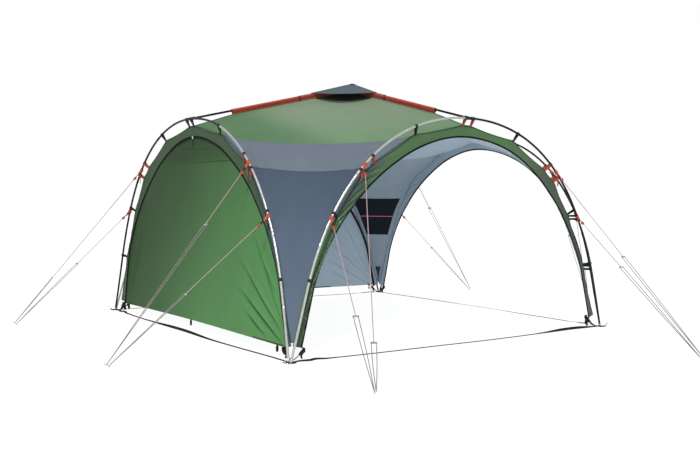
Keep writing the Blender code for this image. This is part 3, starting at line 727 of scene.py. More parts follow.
def looks():
    """How to make the material of each finish, by the key that the pieces ask for."""
    scene = bpy.context.scene
    poles, cloth = scene.shelter_poles, scene.shelter_fabric
    webbing, guys = scene.shelter_webbing, scene.shelter_guys
    thread = cloth.thread
    inside_slate = shaded(cloth.inner, 0.70)
    return {
        "roof": lambda: roof_fabric(cloth),
        "brow": lambda: brow_fabric(cloth),
        "wall": lambda: wall_fabric(cloth),
        "slate": lambda: slate_fabric(cloth),
        "pale": lambda: fabric("pale_grey_cloth", cloth.pale, thread),
        "slate_inner": lambda: fabric("slate_inner_coating", inside_slate, thread, roughness=0.6),
        "inner": lambda: fabric("inner_coating", cloth.inner, thread, roughness=0.6),
        "cap": lambda: fabric("cap_cloth", cloth.cap, thread, crinkle=0.2),
        "red": lambda: fabric("red_cloth", cloth.red, thread, roughness=0.8, crinkle=0.5),
        "navy": lambda: fabric("navy_cloth", (0.014, 0.036, 0.062), thread),
        "roof_tape": lambda: seam_tape("roof_tape", shaded(cloth.roof, 0.9)),
        "green_tape": lambda: seam_tape("green_tape", shaded(cloth.brow, 0.5)),
        "slate_tape": lambda: seam_tape("slate_tape", shaded(cloth.slate, 0.85)),
        "black_tape": lambda: seam_tape("black_binding", (0.004, 0.006, 0.005)),
        "pink_tape": lambda: seam_tape("pink_binding", (0.55, 0.12, 0.20)),
        "vent": lambda: netting("vent_netting_mesh", (0.070, 0.080, 0.066)),
        "pocket": lambda: netting("pocket_netting_mesh", (0.008, 0.012, 0.019)),
        "webbing": lambda: woven("black_webbing_weave", (0.012, 0.012, 0.013)),
        "grey_webbing": lambda: woven("grey_webbing_weave", (0.30, 0.31, 0.30)),
        "red_webbing": lambda: woven("red_webbing_weave", webbing.red),
        "black_plastic": lambda: moulded("black_moulding", (0.010, 0.010, 0.011), 0.45),
        "red_plastic": lambda: moulded("red_moulding", webbing.red, 0.35),
        "pale_plastic": lambda: moulded("pale_moulding", (0.42, 0.45, 0.42), 0.4),
        "silver": lambda: steel("bright_tube", poles.silver, 0.27),
        "dark": lambda: steel("dark_tube", poles.dark, 0.35),
        "ring": lambda: steel("ring_wire", (0.72, 0.73, 0.73), 0.25),
        "braid": lambda: braided("guy_braid", tuple(guys.colour)),
        "low_braid": lambda: braided("guy_braid_low", tuple(guys.low_colour)),
    }


made_finishes = {}


def finish(key):
    """The material of that key, made when it is first asked for."""
    if key not in made_finishes:
        made_finishes[key] = looks()[key]()
    return made_finishes[key]


def unit(v):
    return v / np.linalg.norm(v)


def front(along, depth, height):
    """A point of the front side: along it from its middle, inwards from the hoop, and up."""
    return np.array((along, depth - HALF, height))


def spin_about_z(points, degrees):
    turn = np.array(Matrix.Rotation(math.radians(degrees), 3, "Z"))
    return np.asarray(points) @ turn.T


def run_lengths(points, closed=False):
    """Lengths along a line of points, with one more at the end for a closed line."""
    points = np.asarray(points)
    if closed:
        points = np.concatenate([points, points[:1]])
    steps = np.linalg.norm(np.diff(points, axis=0), axis=1)
    return np.concatenate([[0.0], np.cumsum(steps)])


def evenly(line, count):
    """Points at equal shares of a line's length."""
    along = run_lengths(line)
    return at_lengths(line, along, np.linspace(0, along[-1], count))


def at_lengths(line, along, wanted):
    """Points between those of a line, whose lengths along it are given."""
    line = np.asarray(line)
    return np.stack([np.interp(wanted, along, line[:, k]) for k in range(line.shape[1])], axis=1)


def at_height(line, height):
    """The point of a falling line at that height."""
    return at_lengths(line, -line[:, 2], [-height])[0]


def matched(line, model):
    """Points of one line at the same shares of its length as the points of another."""
    along, wanted = run_lengths(line), run_lengths(model)
    return at_lengths(line, along, wanted * along[-1] / wanted[-1])


def uneven(a, b, seed, waves=7):
    """A smooth uneven field between about -1 and 1, over any two coordinates."""
    random = np.random.default_rng(seed)
    total = np.zeros(np.broadcast(a, b).shape)
    for _ in range(waves):
        angle = random.uniform(0, math.tau)
        pace = random.uniform(0.6, 1.9)
        start = random.uniform(0, math.tau)
        total = total + np.sin((a * math.cos(angle) + b * math.sin(angle)) * pace + start)
    return total / waves ** 0.5


def sheet_normals(grid):
    across = np.gradient(grid, axis=1)
    down = np.gradient(grid, axis=0)
    normals = np.cross(across, down)
    return normals / np.maximum(np.linalg.norm(normals, axis=2, keepdims=True), 1e-9)


def directions(path, looped):
    """The direction of a line at each of its points."""
    if looped:
        return np.roll(path, -1, axis=0) - np.roll(path, 1, axis=0)
    return np.gradient(path, axis=0)


def facing_out(grid):
    """The grid with its columns reversed where its normals would point to the middle of the shelter."""
    row, column = len(grid) // 2, grid.shape[1] // 2
    away = grid[row, column] - (0, 0, 1.0)
    return grid if sheet_normals(grid)[row, column].dot(away) > 0 else grid[:, ::-1]


class Piece:
    """Collects skinned bodies and makes them into one piece of the dressed model."""

    def __init__(self, main):
        self.finishes = [main]
        self.points = []
        self.faces = []
        self.weave = []
        self.worn = []

    def skin(self, sections, use=None, ring=True, looped=False, capped=True, weave=None):
        """Joins equal sections. Weave coordinates are metres across and along."""
        grid = np.asarray(sections, float)
        rows, columns = grid.shape[:2]
        use = use or self.finishes[0]
        if use not in self.finishes:
            self.finishes.append(use)
        worn = self.finishes.index(use)
        if weave is None:
            middle, centre = rows // 2, columns // 2
            around = run_lengths(grid[middle], ring)
            down = run_lengths(grid[:, 0 if ring else centre], looped)
            weave = np.stack(np.meshgrid(around, down), axis=2)
        first = len(self.points)
        self.points.extend(map(tuple, grid.reshape(-1, 3)))
        for r in range(rows if looped else rows - 1):
            for c in range(columns if ring else columns - 1):
                corners = ((r, c), (r, c + 1), (r + 1, c + 1), (r + 1, c))
                self.faces.append([first + i % rows * columns + j % columns for i, j in corners])
                self.weave.append([tuple(weave[i, j]) for i, j in corners])
                self.worn.append(worn)
        if ring and capped and not looped:
            for r in (0, rows - 1):
                self.faces.append([first + r * columns + c for c in range(columns)])
                self.weave.append([tuple(weave[r, c]) for c in range(columns)])
                self.worn.append(worn)

    def cloth(self, grid, thickness, outer, inner, weave=None):
        """A closed thin sheet whose outer and inner faces wear different finishes."""
        half = sheet_normals(grid) * thickness / 2
        out, back = grid + half, grid - half
        if weave is None:
            across, down = run_lengths(grid[len(grid) // 2]), run_lengths(grid[:, grid.shape[1] // 2])
            weave = np.stack(np.meshgrid(across, down), axis=2)
        self.skin(out, outer, ring=False, weave=weave)
        self.skin(back.swapaxes(0, 1), inner, ring=False, weave=weave.swapaxes(0, 1))
        rims = [np.concatenate([g[0, :-1], g[:-1, -1], g[-1, :0:-1], g[:0:-1, 0]]) for g in (out, back)]
        self.skin(rims, outer, capped=False)

    def tube(self, path, radius, use=None, sides=12, looped=False):
        self.skin(tube_sections(path, radius, sides, looped), use, looped=looped)

    def strap(self, path, across, width, thickness, use=None, looped=False):
        self.skin(strap_sections(path, across, width, thickness, looped), use, looped=looped)

    def slab(self, centre, axes, size, use=None, corner=0.3, bevel=0.2):
        """A block with rounded corners and softened rims. Size is along the three axes."""
        self.skin(slab_sections(centre, axes, size, corner, bevel), use)

    def place(self, name, slot, nodes=(), turn=0):
        mesh = bpy.data.meshes.new(name)
        mesh.from_pydata([tuple(p) for p in spin_about_z(self.points, turn)], [], self.faces)
        layer = mesh.uv_layers.new(name="weave")
        layer.data.foreach_set("uv", np.array([v for face in self.weave for v in face], np.float32).ravel())
        for key in self.finishes:
            mesh.materials.append(finish(key))
        mesh.polygons.foreach_set("material_index", self.worn)
        work = bmesh.new()
        work.from_mesh(mesh)
        bmesh.ops.remove_doubles(work, verts=work.verts, dist=WELD)
        bmesh.ops.recalc_face_normals(work, faces=work.faces)
        work.to_mesh(mesh)
        work.free()
        mesh.shade_smooth()
        mesh.set_sharp_from_angle(angle=math.radians(SHARP_ANGLE))
        piece = bpy.data.objects.new(name, mesh)
        bpy.context.collection.objects.link(piece)
        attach(piece, "root")
        if nodes:
            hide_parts(*nodes)
        return piece


def tube_sections(path, radius, sides, looped):
    """Round sections, turned as little as possible from one to the next."""
    path = np.asarray(path, float)
    radii = np.broadcast_to(radius, (len(path),))
    tangents = directions(path, looped)
    start = unit(tangents[0])
    side = unit(np.cross(start, (0, 0, 1) if abs(start[2]) < 0.9 else (1, 0, 0)))
    angles = np.arange(sides) * math.tau / sides
    sections = []
    for point, tangent, r in zip(path, tangents, radii):
        tangent = unit(tangent)
        side = unit(side - tangent * side.dot(tangent))
        up = np.cross(tangent, side)
        sections.append(point + (np.outer(np.cos(angles), side) + np.outer(np.sin(angles), up)) * r)
    return sections


def strap_sections(path, across, width, thickness, looped):
    """Flat sections with softened edges. The width lies along one direction, or one for each point."""
    path = np.asarray(path, float)
    wide = np.broadcast_to(np.asarray(across, float), path.shape)
    tangents = directions(path, looped)
    soft = thickness * 0.35
    edge = width / 2 - soft
    outline = [(1, 0.5), (1, -0.5), (0.98, -1), (-0.98, -1), (-1, -0.5), (-1, 0.5), (-0.98, 1), (0.98, 1)]
    sections = []
    for point, tangent, w in zip(path, tangents, wide):
        w = unit(w)
        thin = unit(np.cross(w, tangent))
        corners = [w * (edge * a + soft * np.sign(a)) + thin * thickness / 2 * b for a, b in outline]
        sections.append([point + corner for corner in corners])
    return sections


def slab_sections(centre, axes, size, corner, bevel):
    """Sections along the third axis of a block with rounded corners."""
    x, y, z = (np.asarray(axis, float) for axis in axes)
    half = np.array(size) / 2
    round_ = min(half[:2]) * corner * 2
    rim = min(half) * bevel
    outline = []
    for quarter, signs in enumerate(((1, 1), (-1, 1), (-1, -1), (1, -1))):
        for step in range(4):
            angle = math.radians(quarter * 90 + step * 30)
            outline.append((signs, (math.cos(angle), math.sin(angle))))
    sections = []
    for height, shrink in ((-1, 1), (-1, 0), (1, 0), (1, 1)):
        level = height * (half[2] - (0 if shrink else rim))
        ring = []
        for signs, lean in outline:
            a = signs[0] * (half[0] - round_) + lean[0] * max(round_ - rim * shrink, 1e-5)
            b = signs[1] * (half[1] - round_) + lean[1] * max(round_ - rim * shrink, 1e-5)
            ring.append(np.asarray(centre) + x * a + y * b + z * level)
        sections.append(ring)
    return sections


def half_arch(leg_foot, leg_top, top, pulls, steps):
    """Points (along, height) from the foot of the leg to the crown."""
    foot, knee, crown = Vector(leg_foot), Vector(leg_top), Vector((0.0, top))
    rise = (knee - foot).normalized()
    curve = interpolate_bezier(knee, knee + rise * pulls[0], Vector((pulls[1], top)), crown, steps + 1)
    return np.array([tuple(foot), *[tuple(p[:2]) for p in curve]])


def mirrored(half):
    """The whole arch, from the left foot over the crown to the right foot."""
    leg = half[half[:, 0] > TINY]
    crown = half[half[:, 0] <= TINY]
    return np.concatenate([leg * (-1, 1), crown, leg[::-1]])


def hoop_line(side):
    """Points of a hoop, from its left foot over the crown, with its sway and lean."""
    line = mirrored(half_arch(HOOP_FOOT, HOOP_LEG_TOP, HOOP_TOP, HOOP_PULLS, HOOP_STEPS))
    line = np.concatenate([evenly(line[:2], 12)[:-1], line[1:-1], evenly(line[-2:], 12)[1:]])
    sway, lean = HOOP_SWAYS[side]
    climb = np.minimum(1.0, line[:, 1] / SWAY_HEIGHT)
    share = climb * (2 - climb)
    along = line[:, 0] + sway * share * np.minimum(1.0, np.abs(line[:, 0]) / SWAY_FADE)
    return np.stack([along, lean * share - HALF, line[:, 1] + ROOF_SLOPE * lean * share], axis=1)


def trim_line():
    return mirrored(half_arch(BROW_LEG_FOOT, BROW_LEG_TOP, BROW_TOP, BROW_PULLS, HOOP_STEPS))


def on_line(line, point):
    """The nearest point of a line, and the line's direction there."""
    starts, runs = line[:-1], np.diff(line, axis=0)
    shares = np.clip(np.sum((point - starts) * runs, axis=1) / np.sum(runs * runs, axis=1), 0, 1)
    spots = starts + runs * shares[:, None]
    best = int(np.argmin(np.linalg.norm(spots - point, axis=1)))
    return spots[best], unit(runs[best])


def canopy_edge(fineness):
    """The sewn edge of the canopy from the crown down one leg, and the index of each tie on it."""
    knots = np.array([(0.0, EDGE_TIES[0][1]), *EDGE_TIES])
    points, ties = [knots[0]], []
    for a, b, steps in zip(knots, knots[1:], EDGE_STEPS):
        run = b - a
        inward = unit(np.array((run[1], -run[0])))
        for share in np.arange(1, steps * fineness + 1) / (steps * fineness):
            hollow = EDGE_SCALLOP * 4 * share * (1 - share) if steps > 1 else 0.0
            points.append(a + run * share + inward * hollow)
        ties.append(len(points) - 1)
    return np.array(points), ties


def roof_pole_point(depth):
    return front(0, depth, HOOP_TOP + ROOF_SLOPE * depth)


def ridge_height(depth):
    """Height of the ridge seam under a roof pole. Outside the sleeve it falls away to the brow."""
    sleeve_foot = HOOP_TOP + ROOF_SLOPE * SLEEVE_START - RIDGE_DROP
    if depth >= SLEEVE_START:
        return HOOP_TOP + ROOF_SLOPE * depth - RIDGE_DROP
    share = (depth - BROW_DEPTH) / (SLEEVE_START - BROW_DEPTH)
    return EDGE_TIES[0][1] + (sleeve_foot - EDGE_TIES[0][1]) * share


def corner_side(fineness):
    """The left-hand border of a corner: down the ridge, then down the arched edge to the foot."""
    depths = (RIDGE_START, SLEEVE_START, BROW_DEPTH + EDGE_GAP)
    side = []
    for a, b, steps in zip(depths, depths[1:], RIDGE_STEPS):
        side += [front(0, d, ridge_height(d)) for d in np.linspace(a, b, steps * fineness, endpoint=False)]
    crown_row = len(side)
    edge, ties = canopy_edge(fineness)
    leg = edge[ties[-2] :]
    shares = np.interp(np.linspace(0, 4, 4 * fineness + 1), range(5), GORE_LEG)
    leg = at_lengths(leg, range(len(leg)), shares * (len(leg) - 1))
    edge = np.concatenate([edge[: ties[-2]], leg])
    side += [front(-x, BROW_DEPTH + EDGE_GAP, z) for x, z in edge]
    return np.array(side), [crown_row + t for t in ties]


def spanned(side, columns):
    """Straight rows from one border of a corner to its mirror image."""
    other = side[:, [1, 0, 2]]
    across = np.linspace(0, 1, columns + 1)[None, :, None]
    grid = side[:, None] * (1 - across) + other[:, None] * across
    grid[0, :, 2] -= VENT_SAG * 4 * across[0, :, 0] * (1 - across[0, :, 0])
    return grid


def relaxed(grid, rounds):
    """A stretched net: every inner point settles at the mean of its neighbours."""
    for _ in range(rounds):
        down = grid[:-2, 1:-1] + grid[2:, 1:-1]
        over = grid[1:-1, :-2] + grid[1:-1, 2:]
        grid[1:-1, 1:-1] = (down + over) / 4
    return grid


def sagged(grid, seams):
    """The same membrane with its rows let down round the two cross seams."""
    last = len(grid) - 1
    rows = np.arange(len(grid))
    columns = np.arange(grid.shape[1])
    across = columns / columns[-1]
    drop = FINE * (SEAM_SAG[0] * (1 - across) + SEAM_SAG[1] * 4 * across * (1 - across))
    spots = rows[:, None] + np.interp(rows, (0, *seams, last), (0, 1, 1, 0))[:, None] * drop
    low = np.minimum(spots.astype(int), last - 1)
    share = (spots - low)[:, :, None]
    return grid[low, columns] * (1 - share) + grid[low + 1, columns] * share


def corner_grid():
    """The membrane of one corner, from the vent to the foot, and the rows where its ties are."""
    coarse = relaxed(spanned(corner_side(1)[0], GORE_COLUMNS), GORE_ROUNDS[0])
    side, ties = corner_side(FINE)
    grid = spanned(side, GORE_COLUMNS * FINE)
    rows = np.linspace(0, len(coarse) - 1, len(grid))
    columns = np.linspace(0, GORE_COLUMNS, grid.shape[1])
    tall = [at_lengths(column, range(len(coarse)), rows) for column in coarse.swapaxes(0, 1)]
    wide = [at_lengths(row, range(len(tall)), columns) for row in np.stack(tall, axis=1)]
    grid[1:-1, 1:-1] = np.array(wide)[1:-1, 1:-1]
    return sagged(relaxed(grid, GORE_ROUNDS[1]), (ties[1], ties[2] + FINE)), ties


def tie_folds(grid, ties, seed):
    """Small folds that fan out from each tie on the two borders, and a slight unevenness everywhere."""
    columns = grid.shape[1]
    down = run_lengths(grid[:, columns // 2])[:, None]
    across = np.linspace(-1, 1, columns)[None, :]
    lift = PANEL_WAVE * uneven(down * 3.0, across * 2.2, seed)
    for number, tie in enumerate(ties[1:]):
        for column in (0, -1):
            away = grid - grid[tie, column]
            reach = np.linalg.norm(away, axis=2)
            angle = np.arctan2(away[:, :, 2], np.linalg.norm(away[:, :, :2], axis=2))
            fan = FAN_DEPTH * np.sin(angle * FAN_PACE + number * 1.7)
            lift = lift + fan * np.exp(-reach / FAN_REACH) * np.minimum(1, reach / FAN_ROOT)
    narrow = np.linalg.norm(grid[:, 0] - grid[:, -1], axis=1)[:, None]
    fade = np.minimum(1, (1 - np.abs(across)) * 7) * np.minimum(1, narrow / 0.9)
    return lift * fade


def cloth_area(grid):
    a = grid[1:, :-1] - grid[:-1, :-1]
    b = grid[:-1, 1:] - grid[:-1, :-1]
    return float(np.sum(np.linalg.norm(np.cross(a, b), axis=2)))


def declare_stretched(grid):
    """Works out how large the cloth was cut, its longest row by its longest column and its flat area, and
    keeps none of it.
    """
    wide = max(run_lengths(row)[-1] for row in grid)
    long = max(run_lengths(grid[:, c])[-1] for c in range(grid.shape[1]))
    area = min(cloth_area(grid), wide * long)


def declare_gores(piece, grids):
    """Adds up the area of several gores, and keeps none of it."""
    area = sum(cloth_area(grid) for grid in grids)


def raised_tape(piece, path, normals, width, lift, use):
    """A narrow tape that lies on a sheet along a path."""
    path, normals = np.asarray(path), np.asarray(normals)
    tangents = np.gradient(path, axis=0)
    sideways = np.cross(tangents, normals)
    piece.strap(path + normals * lift, sideways, width, TAPE_THICKNESS, use)


def make_hoops(settings):
    for side, turn in SIDES.items():
        path = hoop_line(side)
        along = run_lengths(path) - run_lengths(path)[-1] / 2
        joints = np.array(SECTION_JOINTS) + SECTION_SHIFTS.get(side, 0.0)
        ends = (along[0], *joints, along[-1])
        pole = Piece("silver")
        low, high = DARK_SECTIONS[side]
        for a, b in zip(ends, ends[1:]):
            inside = along[(along > a + JOINT_CLEAR) & (along < b - JOINT_CLEAR)]
            stops = np.concatenate([[a], inside, [b]])
            use = "dark" if low < (a + b) / 2 < high else "silver"
            pole.tube(at_lengths(path, along, stops), settings.radius - SLIM, use, POLE_SIDES)
        for joint in joints:
            half = settings.ferrule / 2
            stops = joint + np.array(FERRULE[0]) * half
            radii = settings.radius + np.array(FERRULE[1])
            use = "dark" if low < joint < high else "silver"
            pole.tube(at_lengths(path, along, stops), radii, use, POLE_SIDES)
        for end in (1, -1):
            stops = end * (abs(along[0]) - np.array(POLE_END[0]))
            radii = settings.radius + np.array(POLE_END[1])
            pole.tube(at_lengths(path, along, stops), radii, "silver", POLE_SIDES)
        pole.place(f"arch_pole_{side}", "silver_pole", [f"hoop_{side}"], turn)


def make_roof_poles(settings):
    for side, turn in SIDES.items():
        lean = HOOP_SWAYS[side][1]
        start, end = roof_pole_point(lean + 0.012), roof_pole_point(HALF - HUB_FLOOR - 0.001)
        run = unit(end - start)
        length = np.linalg.norm(end - start)
        pole = Piece("dark")
        pole.tube([start + run * s for s in np.linspace(0, length, 30)], settings.radius, "dark", POLE_SIDES)
        for share in ROOF_JOINTS:
            stops = share * length + np.array(ROOF_FERRULE[0]) * settings.ferrule / 2
            radii = settings.radius + np.array(ROOF_FERRULE[1])
            pole.tube([start + run * s for s in stops], radii, "dark", POLE_SIDES)
        crown = roof_pole_point(lean)
        tee = [crown + (s * TEE_HALF, 0, 0) for s in TEE_STOPS]
        pole.tube(tee, TEE_RADII, "black_plastic", SOCKET_SIDES)
        depths = (0.004, *(TEE_REACH - step for step in SOCKET_STEPS))
        stub = [roof_pole_point(lean + d) for d in depths]
        pole.tube(stub, SOCKET_RADII, "black_plastic", SOCKET_SIDES)
        pole.place(f"roof_rod_{side}", "silver_pole", [f"roof_pole_{side}"], turn)


def make_hub():
    hub = Piece("black_plastic")
    centre = roof_pole_point(HALF) - (0, 0, HUB_DROP)
    stops = np.array(HUB_SHAPE[0]) * HUB_HEIGHT / 2
    radii = HUB_RADIUS * np.array(HUB_SHAPE[1])
    hub.tube([centre + (0, 0, s) for s in stops], radii, sides=32)
    for turn in SIDES.values():
        depths = HALF - np.array((0.012, *(HUB_REACH - step for step in SOCKET_STEPS)))
        stub = spin_about_z([roof_pole_point(d) for d in depths], turn)
        hub.tube(stub, SOCKET_RADII, sides=SOCKET_SIDES)
    hub.place("crown_hub", "black_plastic", ["hub"])


def make_canopy(settings):
    """Roof, band and corner panel of each corner, with the tapes over their seams."""
    base, ties = corner_grid()
    top, light = ties[1], ties[2] + FINE
    for number, (corner, turn) in enumerate(CORNERS.items()):
        grid = base + sheet_normals(base) * tie_folds(base, ties, SEEDS["canopy"] + number)[:, :, None]
        normals = sheet_normals(grid)
        last = len(grid) - 1
        parts = (
            ("roof_cloth", "roof", "inner", "roof_panel", "green_fabric", 0, top),
            ("pale_cloth", "pale", "slate_inner", "corner_band", "light_grey_fabric", top, light),
            ("slate_cloth", "slate", "slate_inner", "corner_panel", "grey_blue_fabric", light, last),
        )
        for name, use, inside, node, slot, first, end in parts:
            piece = Piece(use)
            part = grid[first : end + 1]
            piece.cloth(part, settings.thickness, use, inside)
            tape = "roof_tape" if use == "roof" else "slate_tape"
            if use == "roof":
                raised_tape(piece, grid[0], normals[0], 0.022, 0.0, "black_tape")
            else:
                raised_tape(piece, grid[first], normals[first], 0.010, 0.0008, use)
            for column in (0, -1):
                raised_tape(piece, part[:, column], normals[first : end + 1, column], 0.010, 0.0006, tape)
            if use == "slate":
                piece.cloth(foot_patch(grid, normals), 0.0014, "navy", "navy")
            made = piece.place(f"{name}_{corner}", slot, [f"{node}_{corner}"], turn)
            declare_stretched(part)


def foot_patch(grid, normals):
    """A dark triangle on the inside of a corner, low down and pointing at the foot."""
    middle = grid.shape[1] // 2
    rows = []
    for share in np.linspace(0, 1, 12):
        row = float(np.interp(-(0.34 - 0.21 * share), -grid[:, middle, 2], range(len(grid))))
        low = min(int(row), len(grid) - 2)
        level = grid[low] * (low + 1 - row) + grid[low + 1] * (row - low)
        inner = normals[low] * -0.003
        reach = 0.26 * (1 - share) + 0.03
        wanted = np.linspace(0.5 - reach, 0.5 + reach, 8)
        columns = np.linspace(0, 1, grid.shape[1])
        rows.append(at_lengths(level + inner, columns, wanted))
    return np.array(rows)


def brow_borders(side):
    """The canopy's edge over an opening, the trim that hangs from it, and the pairs of ties on the edge."""
    half, ties = canopy_edge(FINE)
    outer = np.concatenate([half[::-1] * (-1, 1), half[1:]])
    spots = matched(trim_line(), outer)
    along = run_lengths(outer)
    hang = np.array(BROW_HANGS.get(side, STRAIGHT_HANG))
    slip = at_lengths(hang[:, 1:], hang[:, 0], 2 * along / along[-1] - 1)
    for _ in range(HANG_ROUNDS):
        slip[1:-1] = (slip[:-2] + slip[1:-1] * 2 + slip[2:]) / 4
    depth = BROW_DEPTH + BROW_LEAN * np.linalg.norm(spots - outer, axis=1)
    edge = np.stack([outer[:, 0], np.full(len(outer), BROW_DEPTH - HALF), outer[:, 1]], axis=1)
    rim = np.stack([spots[:, 0], depth - HALF, spots[:, 1]], axis=1) + slip
    crown = len(half) - 1
    return edge, rim, [[crown + way * t for way in (-1, 1)] for t in ties[:-1]]


def brow_grid(side, settings):
    """The band round an arched opening, with its folds."""
    edge, rim, _ = brow_borders(side)
    shares = np.linspace(0, 1, BROW_ROWS)[:, None]
    grid = edge[None] + (rim - edge)[None] * shares[:, :, None]
    along = run_lengths(edge)[None, :]
    along = along - along[0, -1] / 2
    seed = SIDES[side]
    wander = FOLD_WANDER * uneven(along * 2.1, shares * 1.5, seed)
    skew = FOLD_PACE * np.abs(along) + FOLD_SLANT * shares + wander
    from_crown = np.clip((np.abs(along) - FOLDS_GROW[0]) / FOLDS_GROW[1], 0, 1)
    from_foot = np.clip((FOLDS_FADE[0] - np.abs(along)) / FOLDS_FADE[1], 0.3, 1)
    strength = CROWN_FOLDS + (1 - CROWN_FOLDS) * from_crown * from_foot
    strength = strength * np.where(along < 0, *BROW_FOLDS[side])
    pinned = np.sin(np.clip(shares * 1.06, 0, 1) * math.pi) ** 0.7
    ridges = 1.2 - 2.4 * np.abs(np.sin(skew / 2)) ** 0.75
    folds = ridges + 0.40 * np.sin(skew * 2.1 + 1.0) + 0.6 * uneven(along * 8.0, shares * 3.0, seed + 5)
    lift = settings.fold_depth * FOLD_SHARE * folds * strength * pinned
    return facing_out(grid + sheet_normals(grid) * np.asarray(lift)[:, :, None])


def loop_path(pole, tail, across, radius, bends=16):
    """A pear-shaped loop from its tail round a pole, which runs in the direction across, and back."""
    across = unit(across)
    square = (pole - tail) - across * (pole - tail).dot(across)
    reach = unit(square)
    sideways = np.cross(across, reach)
    wrap = math.pi / 2 + math.asin(radius / np.linalg.norm(square))
    turns = np.linspace(-wrap, wrap, bends)
    bend = [pole + (reach * math.cos(a) + sideways * math.sin(a)) * radius for a in turns]
    legs = [tail + (bend[i] - tail) * s for i, s in ((0, 0.10), (0, 0.5), (-1, 0.5), (-1, 0.10))]
    return [legs[0] - sideways * 0.0004, legs[1], *bend, legs[2], legs[3] + sideways * 0.0004]


def tie(piece, edge, rim, line, use, settings, wide, loose, paired):
    """A webbing loop from the edge of the brow round the hoop, with its clip on the pole."""
    pole, across = on_line(line, edge)
    tail = edge + unit(rim - edge) * TIE_ROOT - (0, 0.0012, 0)
    if paired:
        right = line[len(line) // 2 :]
        pole = at_height(right, tail[2])
        for half in (-1, 1):
            shift = across * half * 0.017
            path = loop_path(pole + shift, tail + shift, across, TIE_LOOP)
            piece.strap(path, across, 0.018, 0.0040, use, looped=True)
        return
    width = settings.tie_width * (1.4 if wide else 1)
    piece.strap(loop_path(pole, tail, across, TIE_LOOP), across, width, TIE_WEBBING, use, looped=True)
    clip(piece, pole, across, tail)
    if loose:
        start = pole + (tail - pole) * 0.3
        steps = ((0, 0, 0), (0, -0.010, -0.022), (0.002, -0.012, -0.045), (-0.003, -0.008, -0.072))
        hang = [start + step for step in steps]
        piece.strap(evenly(hang, 10), across, settings.tie_width * 0.9, TIE_WEBBING, use)


def clip(piece, pole, across, tail):
    """A C-shaped clip that grips the pole, with its eye towards the canopy."""
    stops, radii = CLIP_SHAPE
    piece.tube([pole + across * (s * CLIP_HALF) for s in stops], radii, "black_plastic", 18)
    square = (tail - pole) - across * (tail - pole).dot(across)
    reach = unit(square)
    sideways = np.cross(across, reach)
    eye = pole + reach * 0.022
    piece.slab(eye, (across, sideways, reach), (0.024, 0.012, 0.022), "black_plastic", 0.6, 0.35)


def make_brows(settings):
    webbing = bpy.context.scene.shelter_webbing
    for side, turn in SIDES.items():
        line = hoop_line(side)
        grid = brow_grid(side, settings)
        normals = sheet_normals(grid)
        piece = Piece("brow")
        piece.cloth(grid, settings.thickness, "brow", "inner")
        raised_tape(piece, grid[0], normals[0], 0.010, 0.0008, "green_tape")
        made = piece.place(f"brow_cloth_{side}", "green_fabric", [f"brow_{side}"], turn)
        declare_stretched(grid)

        trim = Piece("black_tape")
        trim.tube(grid[-1], 0.0055, sides=10)
        bound = grid[-1] + (grid[-3] - grid[-1]) * 0.5
        for face in (1, -1):
            raised_tape(trim, bound, normals[-1] * face, 0.012, 0.0012, "black_tape")
        trim.place(f"brow_trim_{side}", "black_webbing", (), turn)

        ties = Piece("webbing")
        edge, rim, pairs = brow_borders(side)
        for number, pair in enumerate(pairs):
            use = "red_webbing" if number in RED_TIES[side] else "webbing"
            for spot in pair:
                paired = side == "front" and number in PAIRED_TIES and edge[spot][0] > 0
                wide, loose = number in WIDE_TIES, number == LOOSE_TAIL
                tie(ties, edge[spot], rim[spot], line, use, webbing, wide, loose, paired)
        ties.place(f"hoop_ties_{side}", "black_webbing", (), turn)


